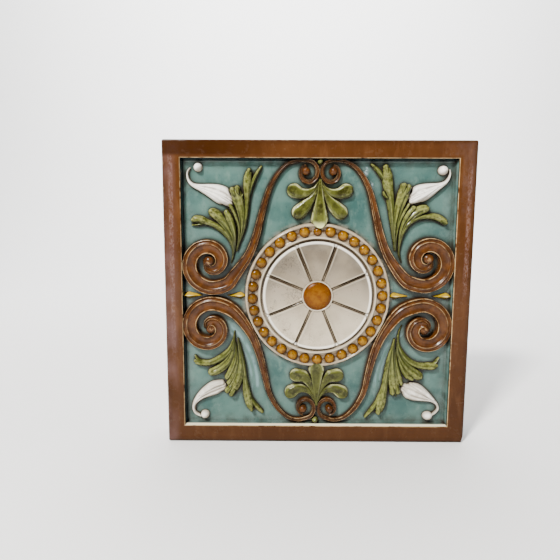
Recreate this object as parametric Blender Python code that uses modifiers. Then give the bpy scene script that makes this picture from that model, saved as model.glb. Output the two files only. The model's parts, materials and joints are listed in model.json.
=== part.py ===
import bpy
import bmesh
from math import asin, atan2, cos, exp, hypot, pi, radians, sin
from mathutils import Matrix, Vector

# A pressed earthenware relief tile: a square slab with a raised border, a sunk field and one
# moulded ornament. The sizes here are in millimetres and the meshes in metres, +Z up, the front
# towards -Y, standing on the lower edge at Z = 0.

MM = 0.001
SIDE = 305.0
THICKNESS = 38.0
RAIL_WIDTH = 17.2
RECESS_DEPTH = 8.5
WALL_DRAFT = 2.0
INNER_ARRIS = 0.6
OUTER_ARRIS = 2.0
CUT_CLEARANCE = 2.0

# Grooves across the back that key the tile to its bed.
KEY_COUNT = 8
KEY_DEPTH = 2.0
KEY_WIDTH = 12.0
KEY_MARGIN = 22.0

# The knocked lower right corner, measured along the three edges that met there.
CHIP_WIDTH = 2.6
CHIP_HEIGHT = 11.0
CHIP_DEPTH = 12.0

# The ornament is drawn for a field of this half width and a relief of this depth, from the
# field's middle and its ground, and is stretched to fit the tile's own. Its forms reach a
# little way into the ground.
DRAWN_HALF = 135.3
DRAWN_RELIEF = 8.5
SPREAD = (SIDE / 2 - RAIL_WIDTH) / DRAWN_HALF
RISE = RECESS_DEPTH / DRAWN_RELIEF
SINK = 1.5
SHARP_TURN = radians(35)

CENTRE_Z = SIDE / 2
FRONT_Y = -THICKNESS / 2
BACK_Y = THICKNESS / 2
GROUND_Y = FRONT_Y + RECESS_DEPTH

# Rosette.
RING_RADIUS = 72.8
RING_SIDES = 56
BEAD_COUNT = 32
BEAD_CIRCLE = 65.4
BEAD_RADIUS = 4.9
BEAD_SEAT = 4.6
BEAD_TOP = 8.3
BEAD_TURN = radians(0.4)
BEAD_DRIFT = radians(3.0)
BEAD_DRIFT_AT = radians(160)
BEAD_DRIFT_SPREAD = radians(40)
PETAL_SEAMS = tuple(radians(turn) for turn in (24.3, 70.3, 112.8, 157.5, 202.3, 246.3, 292.3, 339.2))
PETAL_RADIUS = 55.0
PETAL_FLOOR = 2.8
PETAL_TOP = 5.7
PETAL_GAP = 1.5
PETAL_CORNER = 2.6
PETAL_LEAN = 0.8
PETAL_RIM = 2.4
PETAL_DISH = 1.0
BUTTON_RADIUS = 14.2
BUTTON_TOP = 8.4
BUTTON_SIDES = 16

# Quarters, in the order upper left, upper right, lower left, lower right, and how far each
# quarter's forms stand off the drawing.
QUARTERS = ((-1, 1), (1, 1), (-1, -1), (1, -1))
SMALL_SHIFTS = ((-0.9, 2.1), (0.7, 2.1), (-0.1, -2.1), (0.5, -2.1))
STEM_SHIFTS = ((1.2, 0.6), (1.5, 0.6), (-1.6, -0.4), (-1.7, -0.4))
VOLUTE_SHIFTS = ((-0.6, -0.6), (0.1, 2.0), (0.4, -0.9), (0.4, 0.0))
EYE_SHIFTS = ((0.6, 0.2), (1.6, 3.6), (-1.2, -0.4), (0.6, -0.2))

# A scroll is a stem between two volutes. Each volute has a centre and its first and last radius,
# its first and last angle, and as ratios the power that the radius falls with and its height for
# its width.
SMALL_VOLUTE = ((11.2, 120.6), 9.1, 6.2)
SMALL_VOLUTE_ANGLES = (radians(92), radians(420))
SMALL_VOLUTE_RATIOS = (5.0, 1.14)
SMALL_WIDTHS = (3.0, 3.8, 2.6)
SMALL_HEIGHTS = (4.4, 5.0)
LARGE_VOLUTE = ((108.0, 33.8), 27.1, 3.9)
LARGE_VOLUTE_ANGLES = (radians(-127), radians(330))
LARGE_VOLUTE_RATIOS = (0.94, 1.0)
LARGE_WIDTHS = (14.0, 14.4, 14.4, 13.8, 12.4, 10.0, 5.6)
LARGE_HEIGHT = 8.2

# The stem from the small volute to the large one: across, up, width and height.
STEM = (
    (20.0, 131.8, 2.8, 4.2),
    (30.0, 129.0, 3.0, 4.2),
    (39.6, 120.4, 3.8, 4.4),
    (46.2, 109.6, 4.4, 4.8),
    (50.4, 99.2, 5.0, 5.2),
    (55.4, 79.0, 6.2, 5.8),
    (60.4, 59.0, 7.3, 6.6),
    (68.2, 39.5, 8.8, 7.4),
    (81.6, 20.5, 12.0, 8.0),
)
STEM_UPPER_COUNT = 5
SCROLL_TURN = radians(34)
SCROLL_STEP = 19.0

# Eyes that fill the volutes: across, up, radius and top.
LARGE_EYE = (108.0, 33.8, 6.2, 8.4)
SMALL_EYE = (13.8, 121.0, 4.3, 6.6)

# Leaf lobes, root to tip: across, up, width and height. After them, for each quarter, how far
# the third row and the last stand off the drawing.
LOBES = (
    (((86.0, 34.0, 1.8, 2.0), (87.5, 56.0, 7.0, 4.6), (104.0, 72.0, 8.4, 6.0), (121.5, 74.5, 7.6, 6.4)),
     ((0.0, -0.2), (-0.5, 1.2)), ((2.0, 5.5), (4.0, 0.5)),
     ((1.0, -3.5), (1.0, -5.0)), ((0.5, -1.0), (-1.5, -2.0))),
    (((84.5, 38.0, 2.6, 2.6), (86.5, 62.0, 9.6, 5.4), (94.0, 76.0, 12.4, 6.8), (105.0, 83.0, 9.6, 6.8)),
     ((0.0, 0.0), (-0.5, 0.0)), ((-1.0, 5.5), (0.5, 3.5)),
     ((0.5, -2.0), (2.0, -2.0)), ((1.0, 0.0), (0.5, 0.5))),
    (((83.5, 44.0, 2.6, 3.0), (83.2, 66.0, 5.0, 5.4), (87.0, 79.5, 6.6, 6.2), (92.0, 87.0, 5.0, 6.0)),
     ((0.0, 0.5), (0.5, -0.5)), ((-3.0, 3.5), (-2.5, 4.5)),
     ((2.0, -1.0), (1.5, 0.0)), ((-1.5, 2.0), (-4.0, 4.0))),
    (((80.6, 46.0, 2.8, 3.0), (78.0, 70.0, 9.0, 5.8), (80.5, 90.0, 13.0, 6.8), (85.2, 101.5, 10.6, 6.8)),
     ((-0.5, 1.0), (-2.5, 1.5)), ((-1.5, 3.0), (0.5, 4.5)),
     ((2.0, -2.5), (4.0, -2.5)), ((-1.5, 0.5), (-3.0, -2.0))),
    (((79.0, 50.0, 3.2, 3.0), (74.8, 76.0, 8.6, 5.0), (71.5, 101.0, 9.2, 6.2), (67.6, 121.0, 7.4, 6.4)),
     ((-0.5, 0.0), (2.0, 0.5)), ((-1.5, 2.0), (0.0, 3.0)),
     ((1.0, -1.5), (-0.5, -4.0)), ((0.5, -1.0), (-2.0, -0.5))),
    (((70.8, 94.0, 4.0, 3.0), (67.0, 107.0, 4.6, 4.6), (61.6, 117.5, 4.6, 4.8), (54.8, 127.0, 2.8, 4.2)),
     ((1.5, 1.0), (2.5, 0.8)), ((-1.5, 2.0), (-2.2, 1.2)),
     ((0.5, -1.5), (1.5, -3.5)), ((-0.5, 0.0), (-2.5, -1.0))),
)
LOBE_SPAN_COUNT = 5

# The bud between the leaf and the corner, its tail curling up to the corner's ball.
BUD = (
    (86.5, 92.5, 9.0, 4.0),
    (93.5, 96.8, 16.0, 5.4),
    (104.0, 101.6, 17.0, 6.2),
    (115.5, 106.4, 10.2, 5.6),
    (122.8, 110.0, 5.0, 4.6),
    (126.8, 114.6, 2.8, 3.4),
    (127.6, 120.4, 2.4, 2.8),
    (125.2, 125.6, 2.4, 2.8),
)
BUD_TURN = radians(30)
BUD_STEP = 7.0
BUD_SHIFTS = ((2.0, 1.6), (0.2, 1.2), (1.0, -0.8), (-1.4, -0.4))
BALLS = ((119.4, 127.4), (121.0, 125.6), (114.6, 127.2), (117.2, 127.4))
BALL_RADIUS = 4.9
BALL_TOP = 6.8

# Palmettes, root to tip: across, up, width and height, for the upper one and then the lower.
PALMETTE_MIDDLES = (1.4, 0.4)
PALMETTE_CENTRES = (
    ((0.0, 112.0, 3.4, 4.0), (0.0, 101.0, 7.0, 5.6), (0.0, 88.0, 12.4, 7.0), (0.0, 77.0, 17.4, 8.2)),
    ((0.0, 110.0, 3.4, 4.0), (0.0, 99.0, 7.0, 5.4), (0.0, 86.0, 12.0, 6.4), (0.0, 76.4, 16.6, 7.0)),
)
PALMETTE_SIDES = (
    (((2.0, 108.0, 3.0, 4.0), (7.4, 97.5, 7.4, 5.4), (13.8, 90.0, 12.0, 6.6), (20.4, 83.6, 14.4, 7.2)),
     ((3.4, 107.5, 3.0, 4.0), (11.0, 102.6, 8.0, 5.4), (18.6, 101.8, 10.6, 6.4), (25.4, 104.4, 14.2, 7.0))),
    (((2.4, 104.0, 3.0, 4.0), (6.6, 92.0, 8.0, 5.2), (12.6, 84.8, 11.6, 6.4), (20.8, 83.2, 13.6, 7.0)),
     ((3.8, 104.5, 3.0, 4.0), (10.8, 98.2, 7.0, 5.2), (19.0, 97.2, 10.4, 6.4), (25.8, 101.0, 13.8, 7.0))),
)
PALMETTE_SPAN_COUNT = 5
CENTRE_BALLS = ((1.4, 132.4), (-0.6, -130.8))
CENTRE_BALL_RADIUS = 3.6

# Darts lie along the middle line: where each starts and ends, and its rows from start to end as
# the share of its length, of its width and of its height.
DARTS = ((-137.0, -116.0), (-71.0, -90.5), (71.0, 91.0), (137.0, 116.5))
DART_ROWS = ((0.0, 0.10, 0.5), (0.16, 0.50, 0.8), (0.34, 1.0, 1.0), (0.5, 0.76, 0.95), (1.0, 0.10, 0.5))
DART_UP = -0.2
DART_WIDTH = 6.8
DART_TOP = 5.0

# Sections across a form: the share of its half width, and of its height or None for the foot.
SCROLL_SECTION = ((-1.08, None), (-0.92, 0.96), (-0.22, 0.66), (0.52, 1.0), (0.98, 0.74), (1.08, None))
LEAF_SECTION = ((-1.10, None), (-0.80, 0.66), (0.0, 1.0), (0.80, 0.66), (1.10, None))
DART_SECTION = ((-1.0, None), (0.0, 1.0), (1.0, None))


def clearScene():
    for item in list(bpy.data.objects):
        bpy.data.objects.remove(item, do_unlink=True)


def newCollection(name):
    made = bpy.data.collections.new(name)
    bpy.context.scene.collection.children.link(made)
    return made


def place(across, up, height):
    return (across * SPREAD, GROUND_Y - height * RISE, CENTRE_Z + up * SPREAD)


def finished(bm, name, collection):
    bmesh.ops.recalc_face_normals(bm, faces=bm.faces)
    bmesh.ops.scale(bm, verts=bm.verts, vec=(MM, MM, MM))
    mesh = bpy.data.meshes.new(name)
    bm.to_mesh(mesh)
    bm.free()
    item = bpy.data.objects.new(name, mesh)
    collection.objects.link(item)
    return item


def combine(body, form, operation, solver):
    """The form becomes part of the body, or is cut from it, and is then removed."""
    form.hide_render = True
    form.display_type = "WIRE"
    step = body.modifiers.new(form.name, "BOOLEAN")
    step.operation = operation
    step.solver = solver
    step.object = form
    bpy.context.view_layer.update()
    graph = bpy.context.evaluated_depsgraph_get()
    mesh = bpy.data.meshes.new_from_object(body.evaluated_get(graph))
    body.modifiers.clear()
    old = body.data
    body.data = mesh
    bpy.data.meshes.remove(old)
    bpy.data.objects.remove(form, do_unlink=True)


def cut(body, form):
    combine(body, form, "DIFFERENCE", "EXACT")


def join(body, form):
    """Grazing faces, as where leaf meets leaf, can make the exact solver drop the whole body."""
    combine(body, form, "UNION", "MANIFOLD")


def curved(rows, spans):
    """Rows of equal length joined by a smooth curve through them."""
    ends = [tuple(2 * a - b for a, b in zip(rows[0], rows[1]))]
    tail = [tuple(2 * a - b for a, b in zip(rows[-1], rows[-2]))]
    rows = ends + list(rows) + tail
    out = []
    for k in range(1, len(rows) - 2):
        for s in range(spans):
            t = s / spans
            out.append(tuple(
                b + 0.5 * t * (c - a + t * (2 * a - 5 * b + 4 * c - d + t * (3 * b - a - 3 * c + d)))
                for a, b, c, d in zip(rows[k - 1], rows[k], rows[k + 1], rows[k + 2])
            ))
    out.append(rows[-2])
    return out


def thinned(rows, mostTurn, mostStep):
    """Keeps the fewest stations that hold the turn and the step under their limits."""
    kept = [rows[0]]
    turn = step = 0.0
    for before, here, after in zip(rows, rows[1:], rows[2:]):
        first = atan2(here[1] - before[1], here[0] - before[0])
        second = atan2(after[1] - here[1], after[0] - here[0])
        turn += abs((second - first + pi) % (2 * pi) - pi)
        step += hypot(here[0] - before[0], here[1] - before[1])
        if turn >= mostTurn or step >= mostStep:
            kept.append(here)
            turn = step = 0.0
    kept.append(rows[-1])
    return kept


def evenly(rows, spans):
    """A few stations, evenly spread, on the smooth curve through the rows."""
    fine = curved(rows, 10)
    return [fine[round(k * (len(fine) - 1) / spans)] for k in range(spans + 1)]


def blend(values, share):
    """Straight from one to the next of equally spread values."""
    at = share * (len(values) - 1)
    k = min(int(at), len(values) - 2)
    return values[k] + (values[k + 1] - values[k]) * (at - k)


def capStations(a, b):
    """Two stations past b that round a band's end off."""
    du, dv = b[0] - a[0], b[1] - a[1]
    long = hypot(du, dv)
    du, dv = du / long, dv / long
    out = []
    for turn in (42, 76):
        reach, narrow = sin(radians(turn)), cos(radians(turn))
        out.append((
            b[0] + du * reach * b[2] / 2, b[1] + dv * reach * b[2] / 2,
            b[2] * narrow, b[3] * (0.45 + 0.55 * narrow),
        ))
    return out


def loft(bm, stations, section, quarter):
    """A band along the stations, its section standing on the ground and sunk a little into it."""
    sideX, sideZ = quarter
    rings = []
    for k, (u, v, width, height) in enumerate(stations):
        before, after = stations[max(k - 1, 0)], stations[min(k + 1, len(stations) - 1)]
        du, dv = after[0] - before[0], after[1] - before[1]
        long = hypot(du, dv)
        nu, nv = dv / long, -du / long
        ring = []
        for offset, share in section:
            rise = -SINK if share is None else share * height
            ring.append(bm.verts.new(place(
                sideX * (u + nu * offset * width / 2), sideZ * (v + nv * offset * width / 2), rise
            )))
        rings.append(ring)
    for first, second in zip(rings, rings[1:]):
        for k in range(len(section)):
            j = (k + 1) % len(section)
            bm.faces.new((first[k], first[j], second[j], second[k]))
    bm.faces.new(rings[0][::-1])
    bm.faces.new(rings[-1])


def mound(bm, across, up, radius, seat, top):
    """An egg that stands half out of the given seat, just over its widest part."""
    sunk = seat - 0.3
    x, y, z = place(across, up, sunk)
    scale = Matrix.Diagonal((radius * SPREAD, (top - sunk) * RISE, radius * SPREAD, 1.0))
    poleOut = Matrix.Rotation(pi / 2, 4, "X")
    bmesh.ops.create_uvsphere(
        bm, u_segments=8, v_segments=6, radius=1.0, matrix=Matrix.Translation((x, y, z)) @ scale @ poleOut,
    )


def turned(name, profile, sides, collection):
    """A form turned about the tile's middle; its profile runs from its front out and back."""
    mesh = bpy.data.meshes.new(name)
    points = [(radius * SPREAD * MM, 0.0, height * RISE * MM) for radius, height in profile]
    mesh.from_pydata(points, [(k, k + 1) for k in range(len(points) - 1)], [])
    item = bpy.data.objects.new(name, mesh)
    collection.objects.link(item)
    item.rotation_euler = (pi / 2, 0.0, 0.0)
    item.location = (0.0, GROUND_Y * MM, CENTRE_Z * MM)
    screw = item.modifiers.new("turn", "SCREW")
    screw.axis = "Z"
    screw.steps = sides
    screw.render_steps = sides
    screw.use_merge_vertices = True
    screw.merge_threshold = 0.00001
    return item


def frustum(bm, nearHalf, nearY, farHalf, farY):
    """A square frustum about the tile's middle, given by half its side at two depths."""
    diagonal = 2 ** 0.5
    middle = Matrix.Translation((0.0, (nearY + farY) / 2, CENTRE_Z))
    square = Matrix.Rotation(-pi / 2, 4, "X") @ Matrix.Rotation(pi / 4, 4, "Z")
    bmesh.ops.create_cone(
        bm, cap_ends=True, segments=4, radius1=nearHalf * diagonal, radius2=farHalf * diagonal,
        depth=farY - nearY, matrix=middle @ square,
    )


def block(bm, low, high):
    """A box between two corners."""
    middle = Matrix.Translation([(a + b) / 2 for a, b in zip(low, high)])
    scale = Matrix.Diagonal([b - a for a, b in zip(low, high)] + [1.0])
    bmesh.ops.create_cube(bm, size=1.0, matrix=middle @ scale)


def makeSlab(collection):
    bm = bmesh.new()
    block(bm, (-SIDE / 2, FRONT_Y, 0.0), (SIDE / 2, BACK_Y, SIDE))
    body = finished(bm, "relief_tile", collection)
    soften = body.modifiers.new("arris", "BEVEL")
    soften.width = OUTER_ARRIS * MM
    soften.segments = 2
    return body


def makeField(collection):
    """The sunk field's hollow, its four walls leaning outward."""
    opening = SIDE / 2 - RAIL_WIDTH
    slope = WALL_DRAFT / RECESS_DEPTH
    bm = bmesh.new()
    frustum(
        bm, opening + slope * CUT_CLEARANCE, FRONT_Y - CUT_CLEARANCE, opening - WALL_DRAFT, GROUND_Y,
    )
    return finished(bm, "field_cutter", collection)


def makeInnerArris(collection):
    """The small chamfer along the border's inner edge."""
    edge = SIDE / 2 - RAIL_WIDTH + INNER_ARRIS
    below = 2 * INNER_ARRIS
    bm = bmesh.new()
    frustum(bm, edge + CUT_CLEARANCE, FRONT_Y - CUT_CLEARANCE, edge - below, FRONT_Y + below)
    return finished(bm, "arris_cutter", collection)


def makeKeys(collection):
    bm = bmesh.new()
    length = SIDE / 2 - KEY_MARGIN
    pitch = 2 * length / KEY_COUNT
    half = min(KEY_WIDTH, 0.8 * pitch) / 2
    for n in range(KEY_COUNT):
        middle = CENTRE_Z - length + (n + 0.5) * pitch
        bottom = (-length, BACK_Y - KEY_DEPTH, middle - half)
        block(bm, bottom, (length, BACK_Y + CUT_CLEARANCE, middle + half))
    return finished(bm, "key_cutter", collection)


def makeChip(collection):
    """A block whose face is the plane that the corner broke along."""
    size = 4 * max(CHIP_WIDTH, CHIP_HEIGHT, CHIP_DEPTH)
    outward = Vector((1 / CHIP_WIDTH, -1 / CHIP_DEPTH, -1 / CHIP_HEIGHT)).normalized()
    onPlane = Vector((SIDE / 2 - CHIP_WIDTH, FRONT_Y, 0.0))
    turn = outward.to_track_quat("Z", "Y").to_matrix().to_4x4()
    bm = bmesh.new()
    bmesh.ops.create_cube(bm, size=size, matrix=Matrix.Translation(onPlane + outward * size / 2) @ turn)
    return finished(bm, "chip_cutter", collection)


def spiral(volute, angles, ratios, shift, steps):
    """Points on a volute's middle line, outer end first, each with its share of the way in."""
    (u, v), wide, narrow = volute
    first, last = angles
    power, tall = ratios
    out = []
    for k in range(steps + 1):
        share = k / steps
        turn = first + (last - first) * share
        radius = wide + (narrow - wide) * share ** power
        out.append((u + shift[0] + radius * cos(turn), v + shift[1] + tall * radius * sin(turn), share))
    return out


def scrollStations(index):
    """One scroll from its small volute along the stem to the large volute's inner end."""
    coil = spiral(SMALL_VOLUTE, SMALL_VOLUTE_ANGLES, SMALL_VOLUTE_RATIOS, SMALL_SHIFTS[index], 8)
    small = [
        (u, v, blend(SMALL_WIDTHS, share), blend(SMALL_HEIGHTS, share)) for u, v, share in reversed(coil)
    ]
    upper = [(a + b) / 2 for a, b in zip(SMALL_SHIFTS[index], STEM_SHIFTS[index])]
    stem = []
    for k, (u, v, width, height) in enumerate(STEM):
        shift = upper if k < STEM_UPPER_COUNT else STEM_SHIFTS[index]
        stem.append((u + shift[0], v + shift[1], width, height))
    coil = spiral(LARGE_VOLUTE, LARGE_VOLUTE_ANGLES, LARGE_VOLUTE_RATIOS, VOLUTE_SHIFTS[index], 13)
    large = [(u, v, blend(LARGE_WIDTHS, share), LARGE_HEIGHT) for u, v, share in coil]
    return thinned(curved(small + stem + large, 8), SCROLL_TURN, SCROLL_STEP)


def makeScroll(index, collection):
    bm = bmesh.new()
    loft(bm, scrollStations(index), SCROLL_SECTION, QUARTERS[index])
    return finished(bm, "scroll", collection)


def makeEyes(index, collection):
    bm = bmesh.new()
    sideX, sideZ = QUARTERS[index]
    for eye, shift in ((LARGE_EYE, EYE_SHIFTS[index]), (SMALL_EYE, SMALL_SHIFTS[index])):
        u, v, radius, top = eye
        mound(bm, sideX * (u + shift[0]), sideZ * (v + shift[1]), radius, 0.0, top)
    return finished(bm, "eyes", collection)


def lobeStations(lobe, index):
    drawn, *offsets = lobe
    third, tip = offsets[index]
    shifts = ((0, 0), (0.4 * third[0], 0.4 * third[1]), third, tip)
    rows = [(u + shift[0], v + shift[1], w, h) for (u, v, w, h), shift in zip(drawn, shifts)]
    stations = evenly(rows, LOBE_SPAN_COUNT)
    return stations + capStations(*stations[-2:])


def makeLobe(lobe, index, collection):
    bm = bmesh.new()
    loft(bm, lobeStations(lobe, index), LEAF_SECTION, QUARTERS[index])
    return finished(bm, "lobe", collection)


def makeBud(index, collection):
    du, dv = BUD_SHIFTS[index]
    rows = [(u + du, v + dv, w, h) for u, v, w, h in BUD]
    bm = bmesh.new()
    loft(bm, thinned(curved(rows, 8), BUD_TURN, BUD_STEP), LEAF_SECTION, QUARTERS[index])
    return finished(bm, "bud", collection)


def makeBalls(collection):
    bm = bmesh.new()
    for (sideX, sideZ), (u, v) in zip(QUARTERS, BALLS):
        mound(bm, sideX * u, sideZ * v, BALL_RADIUS, 0.0, BALL_TOP)
    for u, v in CENTRE_BALLS:
        mound(bm, u, v, CENTRE_BALL_RADIUS, 0.0, BALL_TOP)
    return finished(bm, "balls", collection)


def makePalmetteLobe(row, quarter, collection):
    """One lobe of a palmette, on its own side of that palmette's middle line."""
    sideX, sideZ = quarter
    middle = PALMETTE_MIDDLES[0 if sideZ > 0 else 1]
    stations = evenly([(u + sideX * middle, v, w, h) for u, v, w, h in row], PALMETTE_SPAN_COUNT)
    bm = bmesh.new()
    loft(bm, stations + capStations(*stations[-2:]), LEAF_SECTION, quarter)
    return finished(bm, "palmette", collection)


def makeDisc(collection):
    """The rosette's round body: the bead channel between its rims, and the floor inside."""
    rim = PETAL_RADIUS + 1.6
    return turned("disc", (
        (0.0, PETAL_FLOOR), (rim, PETAL_FLOOR), (rim + 1.8, 5.6), (rim + 3.4, BEAD_SEAT),
        (RING_RADIUS - 4.0, BEAD_SEAT), (RING_RADIUS - 1.8, 6.2), (RING_RADIUS - 0.4, 4.6),
        (RING_RADIUS, -SINK), (0.0, -SINK),
    ), RING_SIDES, collection)


def petalOutline(start, end):
    """One petal's edge as radii and angles: straight sides, a short inner end, a round outer one."""
    inner = 0.8 * BUTTON_RADIUS
    half = PETAL_GAP / 2
    shoulder = PETAL_RADIUS - PETAL_CORNER
    side = ((inner, asin(half / inner)), (shoulder, asin(half / shoulder)))
    side += ((PETAL_RADIUS, (half + PETAL_CORNER) / PETAL_RADIUS),)
    rise = [(radius, start + turn) for radius, turn in side]
    arc = [(PETAL_RADIUS, start + (end - start) * share) for share in (0.25, 0.5, 0.75)]
    fall = [(radius, end - turn) for radius, turn in reversed(side)]
    return rise + arc + fall


def makePetals(collection):
    """Eight petals, each with a raised rim round a slightly dished middle."""
    bm = bmesh.new()
    foot = PETAL_FLOOR - SINK
    seams = PETAL_SEAMS + (PETAL_SEAMS[0] + 2 * pi,)
    for start, end in zip(seams, seams[1:]):
        corners = [bm.verts.new(place(r * cos(a), r * sin(a), foot)) for r, a in petalOutline(start, end)]
        face = bm.faces.new(corners)
        face.normal_update()
        bmesh.ops.inset_individual(
            bm, faces=[face], thickness=PETAL_LEAN * SPREAD, depth=(PETAL_TOP - foot) * RISE,
            use_even_offset=True,
        )
        bmesh.ops.inset_individual(
            bm, faces=[face], thickness=PETAL_RIM * SPREAD, depth=-PETAL_DISH * RISE,
            use_even_offset=True,
        )
    rims = [edge for edge in bm.edges if edge.is_boundary]
    bmesh.ops.holes_fill(bm, edges=rims, sides=0)
    return finished(bm, "petals", collection)


def makeButton(collection):
    r = BUTTON_RADIUS
    return turned("button", (
        (0.0, BUTTON_TOP), (0.5 * r, BUTTON_TOP - 0.3), (0.84 * r, BUTTON_TOP - 1.4), (r - 0.4, 5.2),
        (r + 1.2, 5.6), (r + 1.8, PETAL_FLOOR - SINK), (0.0, PETAL_FLOOR - SINK),
    ), BUTTON_SIDES, collection)


def makeBeads(collection):
    """Beads in the rosette's channel, pressed a little round from their places on the left."""
    bm = bmesh.new()
    for n in range(BEAD_COUNT):
        angle = 2 * pi * n / BEAD_COUNT
        drift = BEAD_DRIFT * exp(-(((angle - BEAD_DRIFT_AT) / BEAD_DRIFT_SPREAD) ** 2))
        turn = angle + BEAD_TURN + drift
        mound(bm, BEAD_CIRCLE * cos(turn), BEAD_CIRCLE * sin(turn), BEAD_RADIUS, BEAD_SEAT, BEAD_TOP)
    return finished(bm, "beads", collection)


def makeDarts(collection):
    bm = bmesh.new()
    for start, end in DARTS:
        stations = [
            (start + (end - start) * along, DART_UP, DART_WIDTH * wide, DART_TOP * high)
            for along, wide, high in DART_ROWS
        ]
        loft(bm, stations, DART_SECTION, (1, 1))
    return finished(bm, "darts", collection)


def glaze(item):
    material = bpy.data.materials.new("majolica_glaze")
    material.use_nodes = True
    shader = next(n for n in material.node_tree.nodes if n.type == "BSDF_PRINCIPLED")
    shader.inputs["Base Color"].default_value = (0.17, 0.075, 0.022, 1)
    shader.inputs["Roughness"].default_value = 0.18
    shader.inputs["Metallic"].default_value = 0.0
    item.data.materials.clear()
    item.data.materials.append(material)


def main():
    clearScene()
    tile = newCollection("relief_wall_tile")
    helpers = newCollection("helpers")
    helpers.hide_render = True
    body = makeSlab(tile)
    for make in (makeField, makeInnerArris, makeKeys, makeChip):
        cut(body, make(helpers))
    for make in (makeDisc, makePetals, makeButton, makeBeads, makeDarts):
        join(body, make(helpers))
    for index in range(len(QUARTERS)):
        for make in (makeScroll, makeEyes, makeBud):
            join(body, make(index, helpers))
        for lobe in LOBES:
            join(body, makeLobe(lobe, index, helpers))
    join(body, makeBalls(helpers))
    for sideX, sideZ in QUARTERS:
        for row in PALMETTE_SIDES[0 if sideZ > 0 else 1]:
            join(body, makePalmetteLobe(row, (sideX, sideZ), helpers))
    for sideZ, row in zip((1, -1), PALMETTE_CENTRES):
        join(body, makePalmetteLobe(row, (1, sideZ), helpers))
    body.data.shade_smooth()
    body.data.set_sharp_from_angle(angle=SHARP_TURN)
    glaze(body)


main()
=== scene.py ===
import json
from functools import partial
from math import cos, exp, hypot, pi, radians, sin

import bmesh
import bpy
from mathutils import Matrix, Vector, noise

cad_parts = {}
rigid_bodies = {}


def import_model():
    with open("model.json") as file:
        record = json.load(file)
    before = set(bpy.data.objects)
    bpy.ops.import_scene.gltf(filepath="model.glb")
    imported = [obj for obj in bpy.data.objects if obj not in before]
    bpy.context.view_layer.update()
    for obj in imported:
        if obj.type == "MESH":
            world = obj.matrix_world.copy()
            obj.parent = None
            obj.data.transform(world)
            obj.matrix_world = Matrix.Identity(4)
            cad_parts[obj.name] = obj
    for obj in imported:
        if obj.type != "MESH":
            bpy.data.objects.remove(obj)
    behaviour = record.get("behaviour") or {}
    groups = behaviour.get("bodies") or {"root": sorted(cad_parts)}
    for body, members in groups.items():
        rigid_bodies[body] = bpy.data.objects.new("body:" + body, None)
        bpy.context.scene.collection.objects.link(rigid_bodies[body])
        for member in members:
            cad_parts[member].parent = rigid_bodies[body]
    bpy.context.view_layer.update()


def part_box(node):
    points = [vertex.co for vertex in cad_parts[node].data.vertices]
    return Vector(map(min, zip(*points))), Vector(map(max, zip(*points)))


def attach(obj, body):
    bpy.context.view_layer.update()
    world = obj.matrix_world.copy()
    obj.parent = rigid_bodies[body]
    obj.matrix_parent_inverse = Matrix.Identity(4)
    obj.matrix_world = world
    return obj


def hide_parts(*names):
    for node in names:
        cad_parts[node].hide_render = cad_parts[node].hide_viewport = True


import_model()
print("frame loaded")

# The tile is drawn in millimetres from the middle of its sunk field: across, up, and out of the
# ground. +Z is up and the decorated face looks to -Y.
mm = 0.001
low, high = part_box("relief_tile")
side = (high.x - low.x) / mm
thick = (high.y - low.y) / mm
middle = Vector(((low.x + high.x) / 2, low.y, (low.z + high.z) / 2))

slab = {
    "rail": 17.2,
    "recess": 8.5,
    "draft": 2.0,
    "innerArris": (0.8, 3),         # width and steps
    "floorFillet": (1.6, 4),
    "outerArris": (2.0, 5),
    "keyCount": 8,
    "keyDepth": 2.0,
    "keyWidth": 12.0,
    "keyMargin": 22.0,
    "keyArris": 0.8,
    "chip": (2.6, 12.0, 11.0),      # across, deep and up
    "chipBlock": 60,                # the side of the block that knocks it off
    "gridStep": 3.4,
    "depthSteps": 6,
    "corner": 1.4,                  # edges that turn by more than this, in radians, are arrises
}
sink = 1.5                          # how far a form reaches into the ground
quarters = ((-1, 1), (1, 1), (-1, -1), (1, -1))     # upper left, upper right, lower left, lower right
opening = side / 2 - slab["rail"]
weld = 0.001 * mm                   # corners nearer than this are one


# Metres in the frame for millimetres on the tile.
def onTile(across, up, height):
    return middle + Vector((across * mm, (slab["recess"] - height) * mm, up * mm))


# The unevenness that a hand-pressed mould leaves, the same on all that lies side by side.
def pressed(bm, amount=0.16, size=14.0):
    for vert in bm.verts:
        at = vert.co / (size * mm)
        vert.co += noise.noise_vector(at) * amount * mm


# Rows joined by a smooth curve through them, in so many spans from each to the next.
def curved(rows, spans=8):
    first = [tuple(2 * a - b for a, b in zip(rows[0], rows[1]))]
    last = [tuple(2 * a - b for a, b in zip(rows[-1], rows[-2]))]
    rows = first + list(rows) + last
    out = []
    for k in range(1, len(rows) - 2):
        for s in range(spans):
            t = s / spans
            out.append(tuple(
                0.5 * (2 * b + (c - a) * t + (2 * a - 5 * b + 4 * c - d) * t * t
                       + (3 * b - a - 3 * c + d) * t ** 3)
                for a, b, c, d in zip(rows[k - 1], rows[k], rows[k + 1], rows[k + 2])
            ))
    out.append(rows[-2])
    return out


# The curve's points again, each about one step from the next.
def spaced(rows, step):
    travelled = [0.0]
    for a, b in zip(rows, rows[1:]):
        travelled.append(travelled[-1] + hypot(b[0] - a[0], b[1] - a[1]))
    count = max(2, round(travelled[-1] / step))
    out = []
    k = 0
    for n in range(count + 1):
        wanted = travelled[-1] * n / count
        while k < len(rows) - 2 and travelled[k + 1] < wanted:
            k += 1
        t = (wanted - travelled[k]) / max(travelled[k + 1] - travelled[k], 1e-9)
        out.append(tuple(a + (b - a) * t for a, b in zip(rows[k], rows[k + 1])))
    return out


def blend(values, share):
    at = share * (len(values) - 1)
    k = min(int(at), len(values) - 2)
    return values[k] + (values[k + 1] - values[k]) * (at - k)


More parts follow.
